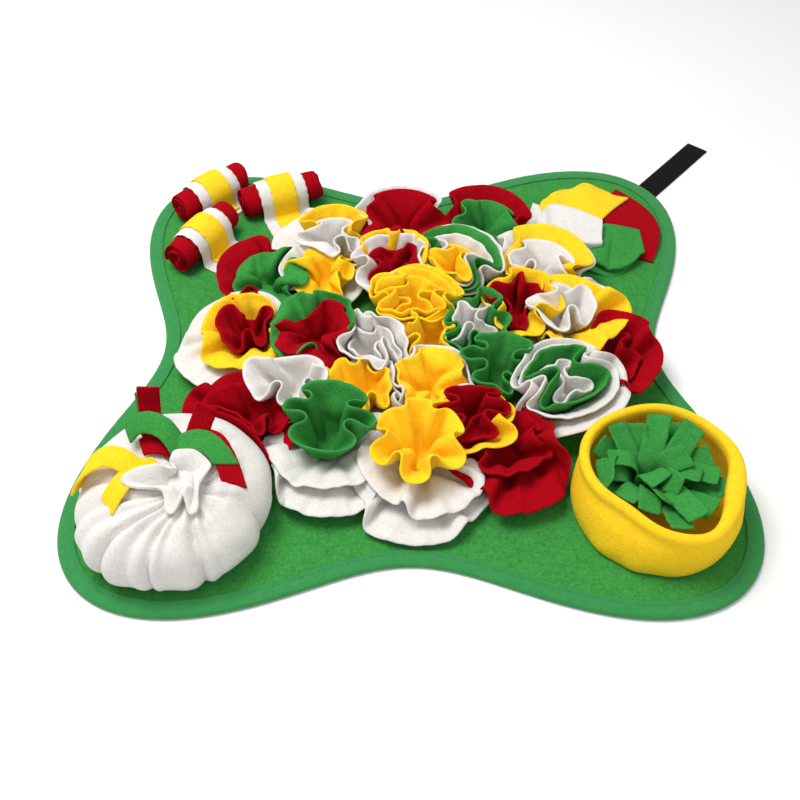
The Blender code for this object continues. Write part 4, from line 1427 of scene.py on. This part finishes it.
# ---- pocket --------------------------------------------------------------------------------
@dataclass
class Pocket:
    """Four overlapping flaps in the back right lobe, with a pocket under them."""

    middle: tuple[float, float] = POCKET_SPOT
    radius: float = 72.0
    rise: float = 11.0
    thick: float = 1.9
    step: float = 3.0
    cells: int = 44

    def height(self, spots: np.ndarray) -> np.ndarray:
        """Return how far the flaps stand off the mat."""
        away = np.hypot(spots[..., 0] - self.middle[0], spots[..., 1] - self.middle[1]) / self.radius
        return self.rise * np.maximum(1 - away ** 2, 0) ** 2

    def patch(self, layer: float, bow: float, corners: Sequence[tuple[float, float]],
              shape: Callable[[np.ndarray, np.ndarray], np.ndarray]) -> Rows:
        """Draw a flap's surface.

        Args:
            layer: How many flaps it lies on.
            bow: How far its sewn edge bows out.
            corners: Sewn start, sewn end, free end and free start.
            shape: The extra x, y and height at u along and v away from the sewn edge.

        Returns:
            Rows of points.
        """
        u, v = np.meshgrid(np.linspace(0, 1, self.cells + 1), np.linspace(0, 1, self.cells + 1))
        a, b, c, d = (np.array(corner, float) for corner in corners)
        u3, v3 = u[..., None], v[..., None]
        spots = (a * (1 - u3) + b * u3) * (1 - v3) + (d * (1 - u3) + c * u3) * v3
        chord = b - a
        outward = np.array([chord[1], -chord[0]]) / np.linalg.norm(chord)
        spots = spots + outward * bow * np.sin(math.pi * u3) * (1 - v3)
        extra = shape(u, v)
        spots = spots + extra[..., :2]
        loose = np.clip(v * 7, 0, 1)
        sewn = loose + (1 - loose) * np.abs(2 * u - 1) ** 6
        level = MAT_FLOOR + self.thick / 2 + 0.1 + layer * self.step * sewn
        return np.concatenate([spots, (level + self.height(spots) + extra[..., 2])[..., None]], -1)

    def flaps(self) -> dict[str, tuple[Cloth, Rows]]:
        """Lay the flaps over each other.

        Returns:
            Each flap's cloth and surface, by its name.
        """
        def red(u: np.ndarray, v: np.ndarray) -> np.ndarray:
            """Shape the smooth red flap."""
            rise = 0.9 * np.sin(5 * u) * v + 1.5 * np.exp(-((u - 0.75) / 0.2) ** 2)
            return np.stack([0 * u, 0 * u, rise], -1)

        def yellow(u: np.ndarray, v: np.ndarray) -> np.ndarray:
            """Shape the yellow flap with its wavy back edge and a dimple.

            Args:
                u: Shares along the sewn edge.
                v: Shares away from it.

            Returns:
                The extra x, y and height.
            """
            wave = (1.4 * np.sin(13 * u) + 1.2 * np.sin(25 * u)) * (1 - v) ** 2
            notch = -5.0 * np.exp(-((u - 0.1) / 0.05) ** 2) * (1 - v) ** 3
            dish = -7.0 * np.exp(-(((u - 0.47) / 0.13) ** 2 + ((v - 0.62) / 0.13) ** 2))
            square = 11.0 * (1 - np.abs(2 * u - 1) ** 4) * (1 - v)
            rise = dish + 1.8 * np.sin(13 * u) * (1 - v) ** 2
            return np.stack([0 * u, square + wave + notch, rise], -1)

        def green(u: np.ndarray, v: np.ndarray) -> np.ndarray:
            """Shape the green flap, its front folded back and forth over itself.

            Args:
                u: Shares along the sewn edge.
                v: Shares away from it.

            Returns:
                The extra x, y and height.
            """
            marks = (0.0, 0.16, 0.21, 0.32, 0.37, 0.48, 1.0)
            where = np.interp(v, marks, (0.0, 0.30, 0.31, -0.01, -0.02, 0.22, 1.0))
            level = np.interp(v, marks, (0.0, 0.5, 2.6, 3.0, 5.6, 5.8, 0.0))
            start = np.clip(u * 5, 0, 1)
            where, level = v + (where - v) * start, level * start
            side = np.exp(-((u - 0.96) / 0.12) ** 2)
            sway = 4.2 * np.sin(8.5 * u + 2 * np.clip(v, 0, 0.37)) * (1 - v) ** 2 * start
            notch = (-3.8 * np.exp(-((u - 0.42 + 0.1 * v) / 0.05) ** 2)
                     * np.exp(-((v - 0.5) / 0.22) ** 2))
            roll = 2.0 * np.sin(7 * u + 1.0) * (1 - v) ** 2
            back = 46 * (where - v) * (0.55 + 0.45 * np.sin(3 * u))
            return np.stack([-6 * side * (1 - v), back + sway,
                             level * (0.75 + 0.25 * np.sin(6 * u)) + notch + roll], -1)

        def white(u: np.ndarray, v: np.ndarray) -> np.ndarray:
            """Shape the white flap: a pinch at its left, and a fold over its front part.

            Args:
                u: Shares along the sewn edge.
                v: Shares away from it.

            Returns:
                The extra x, y and height.
            """
            fold = 0.56 + 0.3 * v ** 0.8 + 0.03 * np.sin(9 * v)
            over = 1 / (1 + np.exp((u - fold) / 0.012))
            lip = np.exp(-((u - fold + 0.03) / 0.06) ** 2)
            pinch = (np.exp(-((v - 0.16 - 0.1 * np.sin(4 * u)) / 0.05) ** 2)
                     * np.clip(1 - u / 0.6, 0, 1))
            swell = 2.6 * np.exp(-((v - 0.45) / 0.22) ** 2) * np.exp(-((u - 0.3) / 0.25) ** 2)
            rise = (7.0 * over * np.clip(v * 3, 0.35, 1) + 1.6 * lip * over - 7.0 * pinch
                    + 1.4 * swell - 2.0)
            return np.stack([0 * u, -4.0 * lip * over, rise], -1)

        spots = {
            "red": (R, 0, -22.0, ((204, 228), (221, 118), (190, 132), (176, 186)), red),
            "yellow": (Y, 1, -20.0, ((127, 199), (212, 206), (177, 160), (122, 184)), yellow),
            "green": (G, 1, 10.0, ((139, 106), (218, 122), (213, 154), (180, 157)), green),
            "white": (W, 2.4, 17.0, ((119, 196), (138, 108), (173, 124), (177, 151)), white),
        }
        return {word: (finish, self.patch(*rest)) for word, (finish, *rest) in spots.items()}

    def build(self) -> list[bpy.types.Object]:
        """Make the flaps.

        Returns:
            The new pieces.
        """
        pieces = []
        for word, (finish, rows) in self.flaps().items():
            thing = skin(f"pocket_{word}", rows)
            thicken(thing, self.thick, 0)
            dress(thing, finish, [f"flap_{word}"])
            along, side, area = measure(rows)
            along.max() * MM
            side.max() * MM
            area * MM * MM
            pieces.append(thing)
        return pieces


# ---- pouch ---------------------------------------------------------------------------------
@dataclass(frozen=True)
class Tie:
    """A strip at the pouch's neck, along a line of points from the neck to its free end."""

    name: str
    finish: Cloth
    node: str | None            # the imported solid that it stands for, if any
    first: tuple[float, float, float]       # across the strip at its start, and at its end
    last: tuple[float, float, float]
    slant: float                # how far one edge runs on past the other at the free end
    points: tuple[tuple[float, float, float], ...]


@dataclass
class Pouch:
    """The stuffed pouch, gathered at a neck, with the strips that tie it."""

    middle: tuple[float, float] = POUCH_SPOT
    neck: tuple[float, float] = (-153.0, -168.0)
    columns: int = 220
    long: float = 1.05          # how much longer than wide it is
    floor: float = 3.4
    whole: float = 34.0         # radius at which its pleats have their whole depth
    shift: float = 60.0         # millimetres for which a whole share counts on its smoothed path
    # height, radius and share of the way from the middle to the neck
    profile: tuple[tuple[float, float, float], ...] = (
        (3.4, 40.0, 0.0), (3.5, 54.0, 0.0), (5.5, 59.5, 0.0), (10.0, 63.5, 0.0), (17.0, 66.0, 0.0),
        (25.0, 67.0, 0.0), (33.0, 65.5, 0.03), (40.0, 61.5, 0.08), (45.5, 55.5, 0.16),
        (49.5, 48.0, 0.28), (52.3, 39.5, 0.48), (54.0, 31.0, 0.7), (54.6, 23.0, 0.88),
        (54.8, 16.0, 1.0), (56.0, 11.0, 1.0), (59.0, 9.5, 1.0), (61.0, 8.0, 1.0))
    neck_height: float = 57.0
    throat: float = 8.5         # radius of the frill at the neck
    frill_thick: float = 2.4
    corners: float = 0.055      # how much further it reaches at the front left and front right
    # the mouth above the neck: a tongue to the left, two loops in front, a flap to the back right;
    # the last number is how high the cloth rises on its way there, least at the end of a fold
    mouth: tuple[tuple[float, float, float, float], ...] = (
        (-14, 6, 15, 17), (-26, 6, 12, 15), (-36, 3, 9, 8), (-40, -1, 6, 2), (-35, -5, 4, 6),
        (-24, -7, 5, 10), (-13, -9, 7, 14), (-9, -14, 5, 12), (-8, -22, 2, 8), (-3, -26, 2, 2),
        (1, -20, 6, 10), (3, -15, 9, 15), (6, -19, 6, 10), (9, -26, 2, 2), (14, -24, 3, 8),
        (14, -15, 6, 14), (14, -7, 8, 15), (16, -1, 8, 12), (18, 6, 7, 6), (19, 12, 6, 4),
        (14, 18, 7, 8), (8, 22, 9, 12), (0, 21, 11, 15), (-6, 18, 13, 14), (-8, 12, 11, 5),
        (-4, 7, 9, 3), (-4, 3, 13, 12), (-9, 4, 15, 17))
    # heading, depth and how far down the valley between two pleats runs, 1 being the floor
    valleys: tuple[tuple[float, float, float], ...] = (
        (13, 2.6, 0.45), (40, 2.6, 0.34), (64, 2.4, 0.3), (92, 2.8, 0.3), (118, 3.2, 0.34),
        (144, 4.0, 0.4), (166, 3.6, 0.6), (184, 4.0, 0.7), (204, 4.6, 0.95), (219, 3.6, 0.7),
        (236, 8.0, 1.0), (250, 4.4, 0.8), (264, 6.5, 1.0), (276, 3.0, 0.6), (294, 8.0, 1.0),
        (306, 3.0, 0.5), (322, 3.6, 0.6), (343, 7.5, 0.95))
    tie_width: float = 16.0
    ties: tuple[Tie, ...] = (
        Tie("yellow", Y, "tie_yellow", (-0.1, 0.85, 0.5), (0.35, 0.9, 0.0), 0.0, (
            (-170, -160, 57), (-184, -158, 60), (-195, -153, 64.5), (-206, -150, 64), (-217, -152, 58),
            (-225, -156, 49), (-230, -160, 38))),
        Tie("yellow_end", Y, None, (0.8, -0.6, 0.0), (0.8, -0.6, 0.1), 6.0, (
            (-172, -152, 58), (-182, -158, 61.5), (-191, -167, 60), (-197, -175, 56),
            (-202, -182, 50.5))),
        Tie("green", G, "tie_green", (0.0, 1.0, 0.3), (-0.3, 0.8, 0.4), -3.0, (
            (-154, -147, 57), (-160, -139, 64), (-168, -132, 71), (-178, -128, 73), (-188, -127, 70),
            (-196, -129, 62))),
        Tie("green_right", G, None, (0.2, 1.0, 0.3), (0.6, 0.8, 0.1), 10.0, (
            (-162, -147, 59), (-157, -141, 64.5), (-148, -138.5, 67.5), (-139, -141, 68),
            (-131, -147, 65), (-125, -154, 60))),
        Tie("red_hanging", R, "tie_red_hanging", (0.6, 0.8, 0.0), (0.9, 0.4, -0.2), 10.0, (
            (-154, -138, 58), (-145, -132, 62), (-135, -136, 63), (-128, -146, 60.5),
            (-123, -156, 57.5), (-119, -166, 52.5))),
        Tie("red_small", R, None, (0.1, 1.0, 0.2), (0.1, 1.0, 0.2), 4.0, (
            (-160, -140, 59), (-168, -138, 61), (-177, -136, 60.5), (-186, -137, 57))),
        Tie("red_left", R, "tie_red_left", (1.0, 0.0, 0.0), (1.0, 0.1, 0.0), 0.0, (
            (-172, -134, 57), (-181, -122, 57), (-183, -113, 61), (-183, -107, 71), (-182, -104, 83))),
        Tie("green_behind", G, None, (1.0, 0.0, 0.0), (1.0, 0.0, 0.0), 3.0, (
            (-178, -122, 56), (-184, -112, 59), (-186, -104, 66), (-186, -101, 75))),
        Tie("red_right", R, "tie_red_right", (1.0, 0.0, 0.0), (1.0, -0.1, 0.0), 0.0, (
            (-153, -140, 57), (-149, -130, 60), (-146, -124, 65), (-143, -119, 71), (-140, -116, 77))))

    def pleat(self, headings: np.ndarray, share: float) -> np.ndarray:
        """Return how far out the cloth stands round the pouch.

        Args:
            headings: Where round the pouch, in degrees.
            share: How far up the profile, from 0 at the floor to 1 at the neck.

        Returns:
            One distance for each heading, negative in the valleys.
        """
        marks, depths, downs = np.array(self.valleys, float).T
        marks = marks + 4.0 * np.sin(marks * 3.0) * (1 - share)
        depths = depths * np.clip((share - (1 - downs) * 0.75) / 0.3, 0, 1)
        marks = np.concatenate([[marks[-1] - 360], marks, [marks[0] + 360]])
        depths = np.concatenate([[depths[-1]], depths, [depths[0]]])
        after = np.clip(np.searchsorted(marks, headings), 1, len(marks) - 1)
        part = (headings - marks[after - 1]) / (marks[after] - marks[after - 1])
        depth = depths[after - 1] * (1 - part) + depths[after] * part
        ridge = np.sin(math.pi * np.clip(part, 0, 1)) ** 0.85
        fine = 0.55 * np.sin(np.radians(headings) * 31 + 4 * share) * np.clip(share * 1.6 - 0.6, 0, 1)
        return depth * (ridge - 0.66) + fine

    def build_body(self) -> bpy.types.Object:
        """Make the pouch's pleated body.

        Returns:
            The new piece.
        """
        profile = smooth_path([(row[0], row[1], row[2] * self.shift) for row in self.profile], 4)
        headings = np.arange(self.columns) * 360 / self.columns
        turn = np.radians(headings)
        shares = np.linspace(0, 1, len(profile))
        along = np.gradient(profile[:, :2], axis=0)
        along /= np.linalg.norm(along, axis=1)[:, None]
        rows = []
        for (high, radius, toward), share, (up, outward) in zip(profile, shares, along):
            toward /= self.shift
            x = self.middle[0] + toward * (self.neck[0] - self.middle[0])
            y = self.middle[1] + toward * (self.neck[1] - self.middle[1])
            spots = np.stack([headings * 1.1, np.full_like(turn, share * 150)], -1)
            stand = ((self.pleat(headings, share) + 1.1 * ripple(spots, 19.0, 3.0))
                     * min(1.0, radius / self.whole) * min(1.0, max(0.0, (high - self.floor) / 5)))
            boxy = self.corners * np.sin(2 * turn) ** 2 * np.clip(0.4 - np.sin(turn), 0, 1)
            out = radius * (1 + boxy + 0.012 * np.sin(turn * 3 + 1)) + up * stand
            rows.append(np.stack([x + out * np.cos(turn), y + out * self.long * np.sin(turn),
                                  np.maximum(high - outward * stand, self.floor)], -1))
        thing = skin("pouch_body", np.array(rows), hoop=True, crown=True, root=True)
        dress(thing, Cloth.WHITE, ["pouch"])
        return thing

    def build_frill(self) -> bpy.types.Object:
        """Raise the mouth of the pouch above the tied neck, folded down on itself.

        Returns:
            The new piece.
        """
        mouth = smooth_path([*self.mouth, self.mouth[0]], 5)[:-1]
        mouth, lift = mouth[:, :3], mouth[:, 3:]
        turn = np.radians(np.linspace(165, 525, len(mouth), endpoint=False))
        neck = np.stack([self.throat * np.cos(turn), self.throat * np.sin(turn), 0 * turn - 1.5], -1)
        over = neck * (0.9, 0.9, 1) + mouth * (0.14, 0.14, 0) + lift * (0, 0, 1)
        foot = np.array([*self.neck, self.neck_height])
        rows = np.array([foot + neck * (1 - share) ** 2 + over * 2 * share * (1 - share)
                         + mouth * share ** 2 for share in np.linspace(0, 1, 9)])
        thing = skin("pouch_frill", rows, hoop=True)
        thicken(thing, self.frill_thick)
        dress(thing, Cloth.WHITE)
        around, tall, area = measure(rows, hoop=True)
        around.mean() * MM
        tall.mean() * MM
        area * MM * MM
        return thing

    def build_ties(self) -> list[bpy.types.Object]:
        """Lay the strips that tie the neck, with their free ends.

        Returns:
            The new pieces.
        """
        pieces = []
        for number, tie in enumerate(self.ties):
            path = smooth_path(tie.points, 6)
            share = np.linspace(0, 1, len(path))[:, None]
            sides = np.array(tie.first) * (1 - share) + np.array(tie.last) * share
            strip = Strip(path, sides, self.tie_width, 2.0, cells=6, cup=0.5, ragged=0.12, seed=number,
                          slant=tie.slant)
            nodes = [] if tie.node is None else [tie.node]
            pieces.append(strip.build(f"tie_strip_{tie.name}", tie.finish, nodes, "draped",
                                      ["pouch_body"]))
        return pieces


# ---- bowl and tuft -------------------------------------------------------------------------
@dataclass
class Bowl:
    """The soft bowl with a folded rim, and the tuft of strips in it."""

    middle: tuple[float, float] = BOWL_SPOT
    columns: int = 128
    foot: float = 3.4
    floor: float = 5.2
    shift: float = 20.0         # millimetres for which a whole share counts on its smoothed path
    # height, radius and share of the rim's dents
    profile: tuple[tuple[float, float, float], ...] = (
        (3.4, 50.0, 0.0), (3.4, 56.5, 0.0), (5.0, 58.6, 0.0), (9.0, 60.0, 0.05), (15.0, 60.8, 0.15),
        (24.0, 60.8, 0.35), (32.0, 60.2, 0.55), (38.0, 59.5, 0.8), (42.0, 59.6, 0.95),
        (45.5, 60.5, 1.0), (48.8, 59.8, 1.0), (50.6, 57.6, 1.0), (50.3, 55.0, 1.0), (48.0, 53.2, 1.0),
        (44.5, 52.9, 1.0), (41.0, 53.2, 0.95), (36.0, 54.0, 0.75), (28.0, 54.2, 0.4), (17.0, 54.2, 0.1),
        (9.0, 53.6, 0.0), (6.2, 52.2, 0.0), (5.3, 49.0, 0.0), (5.2, 30.0, 0.0))
    # heading, depth and width of each dent of the rim, and of how its inner side leans in
    dents: tuple[tuple[float, float, float], ...] = (
        (226.0, 12.5, 34.0), (352.0, 6.5, 44.0), (290.0, -3.0, 15.0))
    slump: tuple[float, float, float] = (338.0, 6.0, 36.0)
    # a point on the way, the end, and the turn about its own line; from the hub, in millimetres
    strips: tuple[tuple[tuple[float, float, float], tuple[float, float, float], float], ...] = (
        ((-14, 14, 38), (-25, 37, 53), 10), ((-6, 18, 32), (-10, 40, 50), -50),
        ((-2, 14, 38), (7, 43, 56), -10), ((12, 12, 40), (30, 33, 56), 16),
        ((-16, 8, 47), (-34, 9, 50), 16), ((5, 3, 50), (20, 6, 57), 34),
        ((-8, -4, 49), (-1, -14, 53), 24), ((13, -1, 47), (27, -8, 51), -16),
        ((22, 2, 42), (40, -7, 49), -8), ((27, -6, 34), (45, -12, 43), 8),
        ((-33, 12, 45), (-38, -16, 50), 78), ((-22, 2, 42), (-40, 1, 47), -14),
        ((-16, -12, 43), (-28, -24, 47), 14), ((-8, -16, 44), (-13, -35, 47), -20),
        ((6, -17, 46), (20, -40, 48), 10), ((4, -22, 38), (8, -47, 45), -12),
        ((3, -9, 49), (10, -20, 52), 60), ((15, -18, 38), (33, -31, 44), 22),
        ((14, 22, 30), (20, 45, 45), 6), ((-22, -6, 34), (-36, -13, 42), 24),
        ((-18, 20, 30), (-38, 26, 44), -20), ((-2, -10, 40), (2, -30, 50), -34),
        ((20, 12, 34), (40, 14, 46), 18))
    hub: tuple[float, float] = (-5.0, 0.0)
    strip_width: float = 17.5

    def build_wall(self) -> bpy.types.Object:
        """Make the bowl's doubled wall, rim and floor.

        Returns:
            The new piece.
        """
        profile = smooth_path([(row[0], row[1], row[2] * self.shift) for row in self.profile], 3)
        headings = np.arange(self.columns) * 360 / self.columns
        turn = np.radians(headings)
        rows = []
        top = int(profile[:, 0].argmax())
        for number, (high, radius, share) in enumerate(profile):
            share /= self.shift
            out = radius + 0.5 * share * np.sin(5 * turn + 1) + 0.3 * np.sin(2 * turn)
            if number > top:
                off = (headings - self.slump[0] + 180) % 360 - 180
                out = out - self.slump[1] * share * np.exp(-(off / self.slump[2]) ** 2)
            for way, depth, width in self.dents:
                off = (headings - way + 180) % 360 - 180
                out = out - share * depth * np.exp(-(off / width) ** 2)
            sag = 1.3 * share * np.sin(2 * turn + 2.2) + 0.5 * share * np.sin(5 * turn + 0.6)
            crumple = 0.8 * np.exp(-((high - 9) / 7) ** 2) * np.sin(9 * turn + 2 * np.sin(3 * turn))
            rows.append(np.stack([self.middle[0] + (out + crumple) * np.cos(turn),
                                  self.middle[1] + (out + crumple) * np.sin(turn),
                                  np.maximum(high + sag, self.foot)], -1))
        thing = skin("bowl_wall", np.array(rows), hoop=True, crown=True, root=True)
        dress(thing, Cloth.YELLOW, ["bowl"])
        return thing

    def build_tuft(self) -> list[bpy.types.Object]:
        """Fan out the strips of the tuft.

        Returns:
            The new pieces.
        """
        pieces = []
        middle = np.array([*self.middle, 0.0])
        hub = np.array([*self.hub, 0.0])
        for number, (via, end, twist) in enumerate(self.strips):
            root = hub + np.array([2.0 * math.sin(number), 2.0 * math.cos(number),
                                   self.floor + 2.0 + 0.3 * number])
            knots = [root, (root * 0.45 + (hub + via) * 0.55) * (1, 1, 0.9), hub + via, hub + end]
            path = smooth_path(knots, 7)
            way = np.array(end, float) * (1, 1, 0)
            way /= np.linalg.norm(way)
            ahead = np.gradient(path, axis=0)
            ahead /= np.linalg.norm(ahead, axis=1)[:, None]
            side = np.array([-way[1], way[0], 0.0])
            tip = np.radians(twist) * np.linspace(0.3, 1, len(path))[:, None]
            sides = side * np.cos(tip) + np.cross(ahead, side) * np.sin(tip)
            strip = Strip(middle + path, sides, self.strip_width, 2.0, cells=4, cup=0.9, ragged=0.5,
                          seed=number, slant=3.0 * math.sin(2.3 * number))
            nodes = [] if number else ["strip_tuft"]
            pieces.append(strip.build(f"tuft_strip_{number}", Cloth.GREEN, nodes, "hung",
                                      ["bowl_wall"]))
        return pieces


# ---- studio --------------------------------------------------------------------------------
@dataclass
class Studio:
    """The pale floor, the soft lights and the camera."""

    pitch: float = 0.8495       # how far the camera looks down, in radians
    away: float = 0.75715       # metres from the camera to where it looks
    target: tuple[float, float] = (-0.00784, -0.0434)
    sensor: float = 36.0
    focal: float = 36 * 949 / 800
    half: float = 4.0           # half of the paper's side, in metres
    under: float = 0.0002       # how far it lies under the mat
    sky: float = 0.49
    lights: tuple[tuple[str, tuple[float, float, float], float, float], ...] = (
        ("key", (-0.45, 0.1, 1.3), 16.8, 0.7),
        ("fill", (0.5, -0.9, 1.0), 2.2, 1.0))

    def build(self) -> None:
        """Set up the floor, the world, the lights and the camera."""
        half = self.half
        mesh = bpy.data.meshes.new("floor")
        mesh.from_pydata([(-half, -half, 0), (half, -half, 0), (half, half, 0), (-half, half, 0)], [],
                         [(0, 1, 2, 3)])
        floor = bpy.data.objects.new("floor", mesh)
        floor.location.z = -self.under
        bpy.context.scene.collection.objects.link(floor)
        mesh.materials.append(Paper("paper", (0.93, 0.93, 0.93)).make())
        world = bpy.data.worlds.new("studio")
        world.use_nodes = True
        sky = world.node_tree.nodes["Background"]
        sky.inputs["Color"].default_value = (1.0, 1.0, 1.0, 1.0)
        sky.inputs["Strength"].default_value = self.sky
        scene = bpy.context.scene
        scene.world = world
        scene.view_settings.view_transform = "Standard"
        for name, place, energy, size in self.lights:
            data = bpy.data.lights.new(name, "AREA")
            data.energy = energy
            data.size = size
            lamp = bpy.data.objects.new(name, data)
            lamp.location = place
            lamp.rotation_euler = (-Vector(place)).to_track_quat("-Z", "Y").to_euler()
            scene.collection.objects.link(lamp)
        data = bpy.data.cameras.new("camera")
        data.sensor_width = self.sensor
        data.lens = self.focal
        camera = bpy.data.objects.new("camera", data)
        camera.location = (self.target[0], self.target[1] - self.away * math.cos(self.pitch),
                           self.away * math.sin(self.pitch))
        camera.rotation_euler = (math.pi / 2 - self.pitch, 0.0, 0.0)
        scene.collection.objects.link(camera)
        scene.camera = camera


def report(pieces: Iterable[bpy.types.Object]) -> None:
    """Log each new piece with its number of faces."""
    for thing in pieces:
        log.info("%s: %d faces before its modifiers", thing.name, len(thing.data.polygons))


def main() -> None:
    """Build the mat, everything sewn to it, and the studio."""
    logging.basicConfig(level=logging.INFO, format="%(message)s")
    Studio().build()
    mat = Mat()
    report([mat.build_cloth(), mat.build_binding(), mat.build_stitches(), mat.build_strap()])
    for word, tail, loose in (("rear", 7.0, 0.0), ("right", 26.0, 0.0), ("front", 34.0, 2.5)):
        roll = Roll(f"roll_{word}", *ROLL_SPOTS[word], tail, loose)
        report([roll.build_core(), *roll.build_bands()])
    report(Pocket().build())
    pouch = Pouch()
    report([pouch.build_body(), pouch.build_frill(), *pouch.build_ties()])
    bowl = Bowl()
    report([bowl.build_wall(), *bowl.build_tuft()])
    report(Ruffles().build())


if __name__ == "__main__":
    main()
